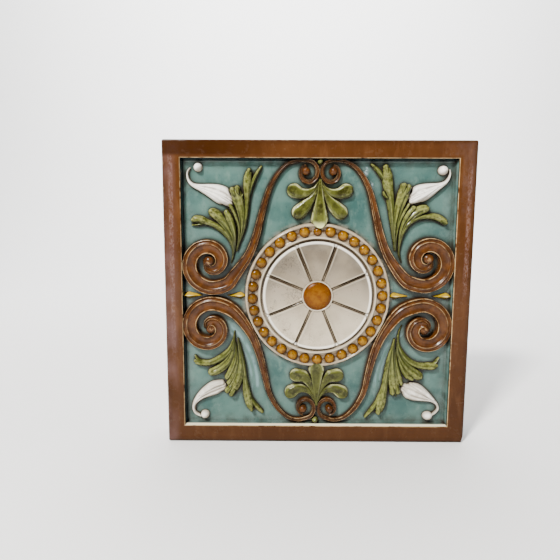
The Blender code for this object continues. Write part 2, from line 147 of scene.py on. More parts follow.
def smoothStep(low, high, value):
    t = min(max((value - low) / (high - low), 0.0), 1.0)
    return t * t * (3 - 2 * t)


def makeObject(bm, name, material):
    bmesh.ops.recalc_face_normals(bm, faces=bm.faces)
    mesh = bpy.data.meshes.new(name)
    bm.to_mesh(mesh)
    bm.free()
    mesh.materials.append(material)
    item = bpy.data.objects.new(name, mesh)
    bpy.context.scene.collection.objects.link(item)
    return item


# Joins a rolled grid's first and last columns and fills its open ends.
def closeUp(bm):
    bmesh.ops.remove_doubles(bm, verts=bm.verts, dist=weld)
    bmesh.ops.holes_fill(bm, edges=[edge for edge in bm.edges if edge.is_boundary], sides=0)


# A grid rolled round a path: its columns follow the section and close under the ground. Its map runs
# across the band in u and along it, from root to tip, in v.
def rolledBand(name, stations, section, quarter, material, wobble=0.12):
    sideX, sideZ = quarter
    columns = len(section(0.0))
    rows = len(stations)
    bm = bmesh.new()
    mapLayer = bm.loops.layers.uv.new("form")
    bmesh.ops.create_grid(bm, x_segments=columns, y_segments=rows - 1, size=0.5, calc_uvs=True)
    along = [0.0]
    for a, b in zip(stations, stations[1:]):
        along.append(along[-1] + hypot(b[0] - a[0], b[1] - a[1]))
    for face in bm.faces:
        for loop in face.loops:
            at = loop[mapLayer].uv
            at.y = along[round(at.y * (rows - 1))] / along[-1]
    for vert in bm.verts:
        column = round((vert.co.x + 0.5) * columns) % columns
        row = round((vert.co.y + 0.5) * (rows - 1))
        u, v, width, height = stations[row][:4]
        before, after = stations[max(row - 1, 0)], stations[min(row + 1, rows - 1)]
        du, dv = after[0] - before[0], after[1] - before[1]
        long = hypot(du, dv)
        offset, share = section(along[row] / along[-1])[column]
        out = offset * width / 2
        rise = -sink if share is None else share * height
        vert.co = onTile(sideX * (u + dv / long * out), sideZ * (v - du / long * out), rise)
    closeUp(bm)
    pressed(bm, wobble)
    return makeObject(bm, name, material)


# Stations past the last one that round the end off.
def roundEnd(stations, steps=6, low=0.42):
    a, b = stations[-2], stations[-1]
    du, dv = b[0] - a[0], b[1] - a[1]
    long = hypot(du, dv)
    out = list(stations)
    for k in range(1, steps + 1):
        turn = pi / 2 * k / (steps + 0.35)
        reach, narrow = sin(turn) * b[2] / 2 / long, cos(turn)
        out.append((b[0] + du * reach, b[1] + dv * reach, b[2] * narrow, b[3] * (low + (1 - low) * narrow)))
    return out


# A dome that stands half out of its seat.
def mound(name, across, up, radius, top, material, seat=0.0, turns=24, rings=12, power=1.0, tall=1.0):
    bm = bmesh.new()
    mapLayer = bm.loops.layers.uv.new("form")
    bmesh.ops.create_uvsphere(bm, u_segments=turns, v_segments=rings, radius=1.0, calc_uvs=True)
    for face in bm.faces:
        for loop in face.loops:
            loop[mapLayer].uv = (0.66, 0.65)     # clear of the pale arrises and the dark furrows
    for vert in bm.verts:
        x, y, z = vert.co
        out = z ** power if z > 0 else z
        vert.co = onTile(across + radius * x, up + radius * tall * y, seat - 0.2 + (top - seat + 0.2) * out)
    pressed(bm, 0.08)
    return makeObject(bm, name, material)


# A profile spun round the middle of the tile, from its front out to its rim and back.
def turned(name, profile, steps, material):
    bm = bmesh.new()
    points = [bm.verts.new(onTile(radius, 0.0, height)) for radius, height in profile]
    edges = [bm.edges.new(pair) for pair in zip(points, points[1:])]
    bmesh.ops.spin(
        bm, geom=points + edges, cent=onTile(0, 0, 0), axis=(0, 1, 0), angle=2 * pi, steps=steps,
        use_merge=True,
    )
    bmesh.ops.remove_doubles(bm, verts=bm.verts, dist=weld)
    pressed(bm, 0.1)
    return makeObject(bm, name, material)


# Glazes. Each is a pooled, hand-brushed lead glaze: thin and pale on the arrises. The paints also darken
# the crevices and the sides turned from the key light as painted shade, and lighten a few places as
# painted light. The patterns sit in the tile's own coordinates.

def node(tree, kind, **settings):
    made = tree.nodes.new(kind)
    for name, value in settings.items():
        setattr(made, name, value)
    return made


# A value or a colour that varies over a surface, so that the paints below read as formulas.
class Field:
    def __init__(self, tree, socket):
        self.tree = tree
        self.socket = socket

    def __add__(self, other):
        return maths("ADD", self, other)

    def __radd__(self, other):
        return maths("ADD", other, self)

    def __sub__(self, other):
        return maths("SUBTRACT", self, other)

    def __rsub__(self, other):
        return maths("SUBTRACT", other, self)

    def __mul__(self, other):
        return maths("MULTIPLY", self, other)

    def __pow__(self, power):
        return maths("POWER", self, power)

    def __abs__(self):
        return maths("ABSOLUTE", self)


def feed(tree, socket, value):
    if isinstance(value, Field):
        tree.links.new(value.socket, socket)
    elif isinstance(value, tuple) and len(value) == 3 and socket.type == "RGBA":
        socket.default_value = (*value, 1)
    else:
        socket.default_value = value


def treeOf(*values):
    return next(value.tree for value in values if isinstance(value, Field))


def maths(operation, first, second=0.0):
    tree = treeOf(first, second)
    made = node(tree, "ShaderNodeMath", operation=operation)
    feed(tree, made.inputs[0], first)
    feed(tree, made.inputs[1], second)
    return Field(tree, made.outputs[0])


# 0 below the low value, 1 above the high one, and smooth between them.
def between(value, low, high):
    made = node(value.tree, "ShaderNodeMapRange", interpolation_type="SMOOTHSTEP")
    feed(value.tree, made.inputs["Value"], value)
    made.inputs["From Min"].default_value = low
    made.inputs["From Max"].default_value = high
    return Field(value.tree, made.outputs["Result"])


# The first colour where the share is 0 and the second where it is 1.
def mixed(share, first, second):
    tree = treeOf(share, first, second)
    made = node(tree, "ShaderNodeMix", data_type="RGBA")
    feed(tree, made.inputs[0], share)
    feed(tree, made.inputs[6], first)
    feed(tree, made.inputs[7], second)
    return Field(tree, made.outputs[2])


# A tone with layers over it, each a share and its colour.
def layered(tone, *layers):
    for share, colour in layers:
        tone = mixed(share, tone, colour)
    return tone


# Noise with spots of about this many millimetres.
def grain(tree, size, detail=3.0, rough=0.55, stretch=(1, 1, 1)):
    at = node(tree, "ShaderNodeTexCoord").outputs["Object"]
    if stretch != (1, 1, 1):
        place = node(tree, "ShaderNodeMapping")
        tree.links.new(at, place.inputs["Vector"])
        place.inputs["Scale"].default_value = stretch
        at = place.outputs["Vector"]
    made = node(tree, "ShaderNodeTexNoise")
    tree.links.new(at, made.inputs["Vector"])
    made.inputs["Scale"].default_value = 1 / (size * mm)
    made.inputs["Detail"].default_value = detail
    made.inputs["Roughness"].default_value = rough
    return Field(tree, made.outputs["Fac"])


# Patches where that noise is strong: 1 in them and 0 outside.
def patches(tree, size, low, high, detail=3, rough=0.6, stretch=(1, 1, 1)):
    return between(grain(tree, size, detail, rough, stretch), low, high)


# Across and up from the middle, and the height over the ground, all in millimetres.
def place(tree):
    split = node(tree, "ShaderNodeSeparateXYZ")
    tree.links.new(node(tree, "ShaderNodeTexCoord").outputs["Object"], split.inputs[0])
    x, y, z = (Field(tree, split.outputs[axis]) for axis in "XYZ")
    perMetre = 1 / mm
    across = (x - middle.x) * perMetre
    up = (z - middle.z) * perMetre
    rise = (middle.y + slab["recess"] * mm - y) * perMetre
    return across, up, rise


def fromMiddle(across, up):
    return maths("SQRT", across ** 2 + up ** 2)


def squareFromMiddle(across, up):
    return maths("MAXIMUM", abs(across), abs(up))


# 1 deep in a corner and 0 in the open.
def crevice(tree, reach, low=0.35, high=0.9):
    made = node(tree, "ShaderNodeAmbientOcclusion", samples=8)
    made.inputs["Distance"].default_value = reach * mm
    return 1.0 - between(Field(tree, made.outputs["AO"]), low, high)


# 1 where the surface leans this way. The paints darken by it, as painted shade, the sides that face
# down and to the right, away from the key light; the leaf glaze also lightens the sides that face up
# and to the left, as painted light.
def leaning(tree, across, up, low, high):
    spot = node(tree, "ShaderNodeVectorMath", operation="DOT_PRODUCT")
    tree.links.new(node(tree, "ShaderNodeTexCoord").outputs["Normal"], spot.inputs[0])
    spot.inputs[1].default_value = (across, 0.0, up)
    return between(Field(tree, spot.outputs["Value"]), low, high)


# A glossy glaze; paint(tree, look) gives its colour, and may give its roughness too.
def glaze(name, paint, look, gloss=0.16, bump=0.25, bumpSize=3.0, shine=0.20):
    material = bpy.data.materials.new(name)
    material.use_nodes = True
    tree = material.node_tree
    shader = next(n for n in tree.nodes if n.type == "BSDF_PRINCIPLED")
    painted = paint(tree, look)
    colour, roughness = painted if isinstance(painted, tuple) else (painted, gloss)
    feed(tree, shader.inputs["Base Color"], colour)
    feed(tree, shader.inputs["Roughness"], roughness)
    shader.inputs["IOR"].default_value = 1.5
    shader.inputs["Specular IOR Level"].default_value = shine
    rough = node(tree, "ShaderNodeBump")
    rough.inputs["Strength"].default_value = bump
    rough.inputs["Distance"].default_value = 0.3 * mm
    feed(tree, rough.inputs["Height"], grain(tree, bumpSize, 2.0))
    tree.links.new(rough.outputs["Normal"], shader.inputs["Normal"])
    return material


# Painted shade: the dark that the crevice masks lay into corners and creases.
creviceShade = (0.022, 0.017, 0.011)
clay = (0.56, 0.40, 0.25)


# Across the band and along it, from 0 to 1 each, out of the form's own map.
def bandPlace(tree):
    split = node(tree, "ShaderNodeSeparateXYZ")
    tree.links.new(node(tree, "ShaderNodeUVMap", uv_map="form").outputs["UV"], split.inputs[0])
    return Field(tree, split.outputs["X"]), Field(tree, split.outputs["Y"])


rail = {
    "dark": (0.058, 0.02, 0.005),
    "warm": (0.079, 0.029, 0.008),
    "runs": (0.096, 0.038, 0.013),
    "blotches": (0.037, 0.013, 0.004),
    "pits": (0.02, 0.009, 0.011),
    "foot": (0.033, 0.012, 0.004),
    "innerArris": (0.52, 0.36, 0.18),
    "chips": (0.62, 0.52, 0.42),
    "rim": (0.027, 0.009, 0.003),
    "topLeft": (0.032, 0.01, 0.002),
    # The pale streaks down the rails, a painted reflection: across, half its width, from, to, and over how
    # far it fades.
    "streaks": ((-144.5, 3.0, -20.0, 150.0, 60.0), (146.0, 3.0, 20.0, 110.0, 30.0)),
    "worn": (0.32, 0.21, 0.19),
    "mauve": (0.130, 0.070, 0.066),
}


def paintRail(tree, look):
    across, up, rise = place(tree)
    square = squareFromMiddle(across, up)
    inner = between(square, opening + 0.55, opening + 0.15) * patches(tree, 8, 0.3, 0.55)
    outer = between(square, side / 2 - 2.2, side / 2 - 0.6)
    outer = outer * between(rise, slab["recess"] - 4.0, slab["recess"] - 0.6)
    topLeft = between(across, 20, -110) * between(up, 60, 145)
    along = between(up, side / 2 - 0.9, side / 2 - 0.2) * between(across, 150, 60)
    along = along * between(rise, slab["recess"] - 2.6, slab["recess"] - 1.2)
    tone = layered(
        mixed(patches(tree, 38, 0.3, 0.72, 4), look["dark"], look["warm"]),
        (patches(tree, 9, 0.48, 0.72, 4, 0.6, (1, 1, 0.3)), look["runs"]),
        (patches(tree, 3.2, 0.58, 0.8, 3, 0.7), look["blotches"]),
        (patches(tree, 1.6, 0.755, 0.79, 1, 0.5), look["pits"]),
        # painted shade: the rails grow darker towards the bottom, away from the key light
        (between(up, 60, -150) * 0.42, look["foot"]),
        (inner * 0.75, look["innerArris"]),
        (outer * patches(tree, 4, 0.5, 0.6, 4, 0.7) * (0.12 + topLeft), clay),
        (along * patches(tree, 5, 0.44, 0.52, 4, 0.7) * 0.85, look["chips"]),
        (between(square, side / 2 - 6.5, side / 2 - 1.0) * 0.55, look["rim"]),
    )
    # Each streak is a painted reflection, speckled where the glaze is uneven.
    for middleLine, half, start, end, fade in look["streaks"]:
        away = abs(across - middleLine)
        within = between(up, start - fade, start) * between(up, end + fade, end)
        on = between(away, half, half * 0.4) * within
        speckled = patches(tree, 2.4, 0.4, 0.66, 4, 0.8, (1, 1, 0.5))
        tone = mixed(on * speckled * 0.3, tone, look["worn"])
    return layered(
        tone,
        # painted sheen: a mauve reflection over the outer part of the left rail
        (between(across, -138, -146) * patches(tree, 22, 0.3, 0.7, 3, 0.5) * 0.5, look["mauve"]),
        # painted shade along the top of the top rail's left half
        (between(across, 0, -120) * between(up, 135, 140), look["topLeft"]),
        # painted shade in the rail's corners and creases
        (crevice(tree, 5.0) * 0.8, creviceShade),
    ), 0.13 + patches(tree, 9, 0.45, 0.7, 4, 0.7) * 0.22


scrollColours = {
    "dark": (0.043, 0.014, 0.003),
    "warm": (0.086, 0.029, 0.005),
    "specks": (0.035, 0.011, 0.001),
    "arris": (0.56, 0.38, 0.19),
    "underside": (0.013, 0.005, 0.001),
    "swirl": (0.46, 0.277, 0.112),
}


def paintScroll(tree, look):
    u = bandPlace(tree)[0]
    tone = mixed(patches(tree, 9, 0.36, 0.66, 4), look["dark"], look["warm"])
    tone = mixed(patches(tree, 1.8, 0.55, 0.78, 3, 0.7), tone, look["specks"])
    for start, end, share in scroll["bandEdges"]:
        centre, half = (start + end) / 2, (end - start) / 2
        away = abs(u - centre)
        on = between(away, half * 1.25, half * 0.55)
        patchy = patches(tree, 7, 0.34, 0.62, 4, 0.65)
        tone = mixed(on * patchy * share, tone, look["arris"])
    rise = place(tree)[2]
    return layered(
        tone,
        # painted shade on the sides that face down and to the right, away from the key light
        (leaning(tree, 0.55, -0.7, 0.25, 0.9) * 0.75, look["underside"]),
        (between(rise, 7.7, 8.3) * patches(tree, 3, 0.42, 0.55, 2, 0.5) * 0.45, look["swirl"]),
        # painted shade in the scroll's creases
        (crevice(tree, 4.0, 0.3, 0.8) * 0.9, creviceShade),
    )


ground = {
    "deep": (0.034, 0.083, 0.075),
    "clear": (0.071, 0.139, 0.119),
    "light": (0.102, 0.172, 0.145),
    "specks": (0.022, 0.05, 0.044),
    "smoke": (0.043, 0.043, 0.034),
    "halo": (0.115, 0.183, 0.164),
    "glint": (0.48, 0.62, 0.66),
    "corner": (0.027, 0.032, 0.025),
    "scum": (0.34, 0.33, 0.26),
    "wall": (0.002, 0.005, 0.007),
    "foot": (0.8, 0.72, 0.5),
    "lip": (0.5, 0.36, 0.2),
    # Pale glaze pooled along an arc between leaf and stem in the lower quarters.
    "streakMiddle": (145.1, 93.8),
    "streakRadius": 83.9,
    "streaks": ((0.5, 2.4), (-5.0, 1.8)),      # how far out of the arc, and half the width
    "pooled": (0.190, 0.300, 0.310),
    "glints": ((46.0, 121.0, 10.0), (51.5, 108.0, 7.0)),      # across, up and half the length
}


def paintGround(tree, look):
    across, up, rise = place(tree)
    square = squareFromMiddle(across, up)
    edge = between(square, opening - 14, opening - 2)
    near = crevice(tree, 16.0, 0.50, 0.95)
    mirrored = abs(across) - look["streakMiddle"][0]
    downward = up + look["streakMiddle"][1]
    fromArc = fromMiddle(mirrored, downward) - look["streakRadius"]
    tone = layered(
        mixed(patches(tree, 34, 0.36, 0.64, 3, 0.5), look["deep"], look["clear"]),
        (patches(tree, 7, 0.48, 0.82, 4, 0.6, (1, 1, 0.6)), look["light"]),
        (patches(tree, 2.2, 0.6, 0.8, 3, 0.7), look["specks"]),
        (edge * patches(tree, 12, 0.36, 0.62, 4, 0.65) * 0.55, look["smoke"]),
        (between(near, 0.1, 0.5) * patches(tree, 14, 0.36, 0.6, 4) * 0.75, look["halo"]),
    )
    for at, half in look["streaks"]:
        away = abs(fromArc - at)
        within = between(up, -22, -40) * between(up, -112, -92)
        pooled = between(away, half, half * 0.2) * within
        pooled = pooled * patches(tree, 6, 0.34, 0.62, 3, 0.6, (1, 1, 0.4))
        tone = mixed(pooled * 0.65, tone, look["pooled"])
    for sideways, height, half in look["glints"]:
        reach = abs(across - sideways)
        along = abs(up - height)
        spot = between(reach, 3.2, 0.4) * between(along, half, half * 0.4)
        spot = spot * patches(tree, 3.0, 0.46, 0.58, 4, 0.75)
        tone = mixed(spot * 0.8, tone, look["glint"])
    out = fromMiddle(across, up)
    rightward = between(across - abs(up), -1.0, 1.0)
    brink = between(rise, 5.6, 7.0)
    light = rightward * (1.0 - brink)
    away = up + abs(across)
    foot = between(up, 8 - opening, 3 - opening) * between(away, 0.6, -0.6)
    return layered(
        tone,
        # painted shade where the ground meets the forms and the walls
        (crevice(tree, 7.0, 0.50, 0.97) * 0.8, look["corner"]),
        # painted shade in the tight creases round every form
        (crevice(tree, 3.6, 0.52, 0.94), creviceShade),
        # painted shadow: the creases on the right half darker, where shade falls from the key light on the
        # left
        (crevice(tree, 6.5, 0.5, 0.96) * between(across, -10, 70) * 0.55, creviceShade),
        (between(out, 78.0, 74.0) * patches(tree, 9, 0.4, 0.7) * 0.4, look["scum"]),
        # painted shade on the walls of the field: dark on the top and left walls, lighter on the right one,
        # which faces the key light
        (between(square, opening - 3.0, opening - 1.7) * (1.0 - light) * (0.94 - foot), look["wall"]),
        # cream on the bottom wall, which faces up: the pale body where the glaze thins, and painted light
        (between(rise, 3.6, 5.0) * foot, look["foot"]),
        (between(rise, 7.5, 8.0) * patches(tree, 9, 0.3, 0.55) * 0.8, look["lip"]),
    )


palmetteColours = {
    "dark": (0.02, 0.019, 0.003),
    "olive": (0.062, 0.067, 0.011),
    "light": (0.16, 0.166, 0.048),
    "top": (0.16, 0.17, 0.05),
    "brink": (0.16, 0.18, 0.04),
    "rim": (0.56, 0.56, 0.28),
    "crown": (0.64, 0.65, 0.29),
    "lower": (0.024, 0.024, 0.004),
    "underside": (0.009, 0.008, 0.002),
}


# Olive pools in the hollow of each lobe, and a pale rim round it.
def paintPalmette(tree, look):
    across, up, rise = place(tree)
    u = bandPlace(tree)[0]
    rim = abs(u - 0.5)
    pale = between(rim, 0.275, 0.34) * between(rim, 0.455, 0.415)
    # A painted highlight on the lower end of the upper middle lobe.
    crown = between(abs(across), 9, 4) * between(up, 76, 68)
    crown = crown * between(up, -10, 10)
    crown = crown * patches(tree, 5, 0.3, 0.52)
    return layered(
        mixed(patches(tree, 9, 0.36, 0.62), look["dark"], look["olive"]),
        (patches(tree, 3.6, 0.5, 0.86), look["light"]),
        (between(rise, 6.2, 7.8) * 0.25, look["top"]),
        (between(rim, 0.16, 0.3) * 0.55, look["brink"]),
        (pale * patches(tree, 7, 0.34, 0.58) * 0.85, look["rim"]),
        (crown, look["crown"]),
        (between(up, 20, -40) * 0.2, look["lower"]),
        # painted shade on the sides that face down and to the right, away from the key light
        (leaning(tree, 0.5, -0.75, 0.05, 0.8) * 0.85, look["underside"]),
        # painted shade in the palmette's creases
        (crevice(tree, 3.4, 0.4, 0.9), creviceShade),
    )


leafColours = {
    "root": (0.022, 0.025, 0.004),
    "tip": (0.052, 0.06, 0.01),
    "blotches": (0.034, 0.035, 0.006),
    "worn": (0.24, 0.245, 0.075),
    "crest": (0.25, 0.268, 0.068),
    "foot": (0.008, 0.008, 0.002),
    "sunny": (0.3, 0.32, 0.095),
    "underside": (0.007, 0.006, 0.002),
    "furrow": (0.006, 0.007, 0.002),
}


def paintLeaf(tree, look):
    rise = place(tree)[2]
    u, v = bandPlace(tree)
    ridge = abs(u - 0.4)
    crest = between(ridge, 0.11, 0.02) * between(v, 0.1, 0.45)
    crest = crest * patches(tree, 5, 0.3, 0.64)
    return layered(
        mixed(between(v, 0.05, 0.6), look["root"], look["tip"]),
        (patches(tree, 7, 0.42, 0.7), look["blotches"]),
        # painted highlight: pale patches towards the lobes' tips
        (between(v, 0.45, 0.92) * patches(tree, 3.4, 0.38, 0.66, 4, 0.65) * 0.7, look["worn"]),
        (crest * 0.5, look["crest"]),
        (between(rise, 3.0, 0.6) * 0.8, look["foot"]),
        # painted light on the sides that face up and to the left, and painted shade on those that face down
        # and to the right
        (leaning(tree, -0.6, 0.7, 0.1, 0.75) * patches(tree, 4, 0.3, 0.6) * 0.5, look["sunny"]),
        (leaning(tree, 0.6, -0.7, 0.05, 0.75) * 0.85, look["underside"]),
        # painted shade in the furrows and hollows of the lobes
        (crevice(tree, 3.2, 0.44, 0.94) * 0.92, look["furrow"]),
        # painted shade where the leaf meets the ground and the other forms
        (crevice(tree, 5.0, 0.25, 0.65), creviceShade),
    )


whiteColours = {
    "foot": (0.38, 0.34, 0.27),
    "white": (0.97, 0.94, 0.85),
    "dull": (0.6, 0.55, 0.46),
    "fold": (0.26, 0.22, 0.17),
    "root": (0.25, 0.2, 0.14),
    "grime": (0.42, 0.37, 0.28),
    "underside": (0.22, 0.18, 0.13),
    "corner": (0.17, 0.14, 0.1),
}


def paintWhite(tree, look):
    up, rise = place(tree)[1:]
    u, v = bandPlace(tree)
    tone = mixed(between(rise, 1.0, 5.4), look["foot"], look["white"])
    tone = mixed(patches(tree, 5, 0.54, 0.76, 4, 0.65), tone, look["dull"])
    # Painted shade along the folds of the buds.
    for fold in bud["foldLines"]:
        near = abs(u - fold)
        line = between(near, 0.075, 0.008) * between(v, 0.62, 0.3)
        line = line * patches(tree, 7, 0.3, 0.55)
        tone = mixed(line * 0.75, tone, look["fold"])
    return layered(
        tone,
        (between(v, 0.22, 0.04) * patches(tree, 3, 0.36, 0.6, 3, 0.7) * 0.7, look["root"]),
        # darker, in patches, on the buds in the lower quarters
        (between(up, 10, -90) * patches(tree, 9, 0.28, 0.6) * 0.6, look["grime"]),
        # painted shade on the sides that face down and to the right, away from the key light
        (leaning(tree, 0.45, -0.8, -0.05, 0.75) * 0.8, look["underside"]),
        # painted shade in the corners round the buds
        (crevice(tree, 2.4, 0.55, 0.97) * 0.85, look["corner"]),
        # painted shade where the buds meet the other forms
        (crevice(tree, 4.5, 0.25, 0.65) * 0.9, creviceShade),
    )


rosetteColours = {
    "upper": (0.145, 0.118, 0.084),
    "lower": (0.55, 0.47, 0.35),
    "inner": (0.33, 0.27, 0.19),
    "outerShade": (0.11, 0.09, 0.066),
    "ring": (0.33, 0.262, 0.175),
    "cloud": (0.3, 0.25, 0.172),
    "soot": (0.056, 0.047, 0.035),
    "specks": (0.068, 0.052, 0.035),
    "seat": (0.092, 0.054, 0.026),
    "thread": (0.062, 0.024, 0.004),
    "seams": (0.052, 0.035, 0.021),
    "outerRim": (0.51, 0.425, 0.3),
    "crest": (0.78, 0.7, 0.55),
    "arc": (0.92, 0.88, 0.77),
    "corner": (0.034, 0.02, 0.01),
}


def paintRosette(tree, look):
    across, up, rise = place(tree)
    out = fromMiddle(across, up)
    # Painted shade: the upper petals darker and the lower ones lighter.
    petals = mixed(between(up, 40, -45), look["upper"], look["lower"])
    petals = mixed(between(out, 46, 18) * 0.4, petals, look["inner"])
    shade = between(out, 42.0, 50.5) * between(up, -20, 30)
    petals = mixed(shade * 0.6, petals, look["outerShade"])
    sooty = patches(tree, 16, 0.44, 0.62) * between(across, 22, -40)
    seat = between(out, 60.0, 61.5) * between(out, 70.4, 69.0)
    away = abs(out - rosette["beadCircle"])
    return layered(
        mixed(between(out, 56.5, 58.5), petals, look["ring"]),
        (patches(tree, 17, 0.36, 0.8, 3, 0.5) * 0.5, look["cloud"]),
        (sooty * patches(tree, 1.4, 0.48, 0.62, 4, 0.8) * 0.8, look["soot"]),
        (patches(tree, 1.2, 0.68, 0.76, 2), look["specks"]),
        (seat * patches(tree, 5, 0.34, 0.58) * 0.8, look["seat"]),
        (between(away, 1.5, 0.7) * patches(tree, 4, 0.36, 0.5) * 0.85, look["thread"]),
        # dark in the seams and creases: brown glaze pooled there, and painted shade
        (crevice(tree, 2.6, 0.46, 0.92) * 0.9, look["seams"]),
        (between(out, 69.5, 71.0) * patches(tree, 8, 0.4, 0.6, 4, 0.65) * 0.6, look["outerRim"]),
        (between(rise, 5.35, 5.9) * between(out, 72, 60) * 0.4, look["crest"]),
        # painted highlight along the raised outer edge of each petal
        (between(out, 51.6, 53.0) * between(out, 55.0, 54.4) * 0.85, look["arc"]),
        # painted shade in the rosette's corners
        (crevice(tree, 3.5, 0.25, 0.7) * 0.65, look["corner"]),
    )


beadColours = {
    "dark": (0.024, 0.008, 0.001),
    "honey": (0.15, 0.058, 0.001),
    "top": (0.27, 0.13, 0.002),
    "blotches": (0.07, 0.024, 0.001),
    "light": (0.34, 0.19, 0.01),
    "leftHand": (0.05, 0.018, 0.002),
    "corner": (0.02, 0.009, 0.003),
}


def paintBead(tree, look):
    across, up, rise = place(tree)
    return layered(
        mixed(between(rise, 4.2, 7.4), look["dark"], look["honey"]),
        (between(rise, 7.0, 8.4), look["top"]),
        (patches(tree, 2.2, 0.46, 0.7, 4, 0.75), look["blotches"]),
        (patches(tree, 3.0, 0.58, 0.78), look["light"]),
        (between(across, -45, -62) * 0.6, look["leftHand"]),
        # painted shade where the beads meet the ring
        (crevice(tree, 3.4, 0.4, 0.95), look["corner"]),
    )


buttonColours = {
    "amber": (0.185, 0.068, 0.001),
    "brown": (0.075, 0.021, 0.001),
    "blotches": (0.118, 0.034, 0.001),
    "light": (0.22, 0.098, 0.002),
    "corner": (0.035, 0.014, 0.002),
}


def paintButton(tree, look):
    across, up = place(tree)[:2]
    out = fromMiddle(across, up)
    return layered(
        mixed(between(out, 5.0, 14.0), look["amber"], look["brown"]),
        (patches(tree, 6, 0.4, 0.64, 4, 0.65), look["blotches"]),
        (patches(tree, 1.6, 0.56, 0.76, 3, 0.7), look["light"]),
        # painted shade in the button's corners
        (crevice(tree, 2.5, 0.35, 0.9) * 0.9, look["corner"]),
    )


clayColours = {
    "dark": (0.4, 0.27, 0.165),
    "pale": (0.56, 0.42, 0.28),
    "grains": (0.27, 0.18, 0.11),
    "ash": (0.5, 0.47, 0.42),
    "corner": (0.1, 0.07, 0.045),
}


def paintClay(tree, look):
    return layered(
        mixed(patches(tree, 20, 0.34, 0.68, 5), look["dark"], look["pale"]),
        (patches(tree, 1.6, 0.58, 0.74, 3, 0.7), look["grains"]),
        (patches(tree, 45, 0.56, 0.72, 4, 0.7), look["ash"]),
        # painted shade in the corners of the keyed back
        (crevice(tree, 5.0) * 0.6, look["corner"]),
    ), 0.85


floorColours = {
    "white": (0.95, 0.95, 0.95),
    "warm": (0.97, 0.97, 0.965),
}


def paintFloor(tree, look):
    return mixed(grain(tree, 60, 3, 0.5), look["white"], look["warm"]), 0.85


# The slab: a box with a sunk field and keyed back.

def cutAcross(bm, at, normal):
    everything = bm.verts[:] + bm.edges[:] + bm.faces[:]
    bmesh.ops.bisect_plane(bm, geom=everything, plane_co=at, plane_no=normal)


def makeSlab():
    bm = bmesh.new()
    bmesh.ops.create_cube(bm, size=1.0)
    for vert in bm.verts:
        vert.co = Vector((
            middle.x + vert.co.x * side * mm,
            middle.y + (vert.co.y + 0.5) * thick * mm,
            middle.z + vert.co.z * side * mm,
        ))
    front = min(bm.faces, key=lambda face: face.calc_center_median().y)
    bmesh.ops.inset_region(bm, faces=[front], thickness=slab["rail"] * mm, use_even_offset=True)
    innerEdges = list(front.edges)
    bmesh.ops.inset_region(
        bm, faces=[front], thickness=slab["draft"] * mm, depth=-slab["recess"] * mm, use_even_offset=True,
    )
    floorEdges = list(front.edges)
    outerEdges = []
    for edge in bm.edges:
        at = edge.verts[0].co - middle
        outside = max(abs(at.x), abs(at.z)) > 0.499 * side * mm
        if outside and len(edge.link_faces) == 2 and edge.calc_face_angle() > slab["corner"]:
            outerEdges.append(edge)
    for edges, (width, steps) in (
        (innerEdges, slab["innerArris"]),
        (floorEdges, slab["floorFillet"]),
        (outerEdges, slab["outerArris"]),
    ):
        bmesh.ops.bevel(
            bm, geom=edges, offset=width * mm, segments=steps, affect="EDGES", profile=0.5, material=-1,
        )
    for axis in ((1, 0, 0), (0, 0, 1)):
        count = round(side / slab["gridStep"])
        for k in range(1, count):
            at = (k / count - 0.5) * side * mm
            cutAcross(bm, middle + Vector(axis) * at, axis)
    for k in range(1, slab["depthSteps"]):
        cutAcross(bm, middle + Vector((0, thick * mm * k / slab["depthSteps"], 0)), (0, 1, 0))
    return bm


# Which glaze a face of the slab wears, by its place among the body's materials.
zones = {"rails": 0, "field": 1, "back": 2}


def slabZone(face):
    at = (face.calc_center_median() - middle) / mm
    if face.normal.y > 0.7 or at.y > thick - 0.4:
        return zones["back"]
    if max(abs(at.x), abs(at.z)) < opening - 0.2 and at.y > 0.5:
        return zones["field"]
    return zones["rails"]


# The slab with its three glazes: rails, ground and bare back.
def makeBody():
    bm = makeSlab()
    bmesh.ops.recalc_face_normals(bm, faces=bm.faces)
    bm.loops.layers.uv.new("form")
    for face in bm.faces:
        face.material_index = slabZone(face)
    body = makeObject(bm, "tile", brownGlaze)
    body.data.materials.append(tealGlaze)
    body.data.materials.append(bareClay)
    return body


brownGlaze = glaze("brown glaze", paintRail, rail, bump=0.35, bumpSize=5.0, shine=0.11)
tealGlaze = glaze("teal glaze", paintGround, ground, gloss=0.14, bumpSize=4.0)
bareClay = glaze("bare clay", paintClay, clayColours, bump=0.6, bumpSize=1.6)
body = makeBody()
print("slab:", len(body.data.polygons), "faces")


# Scrolls.

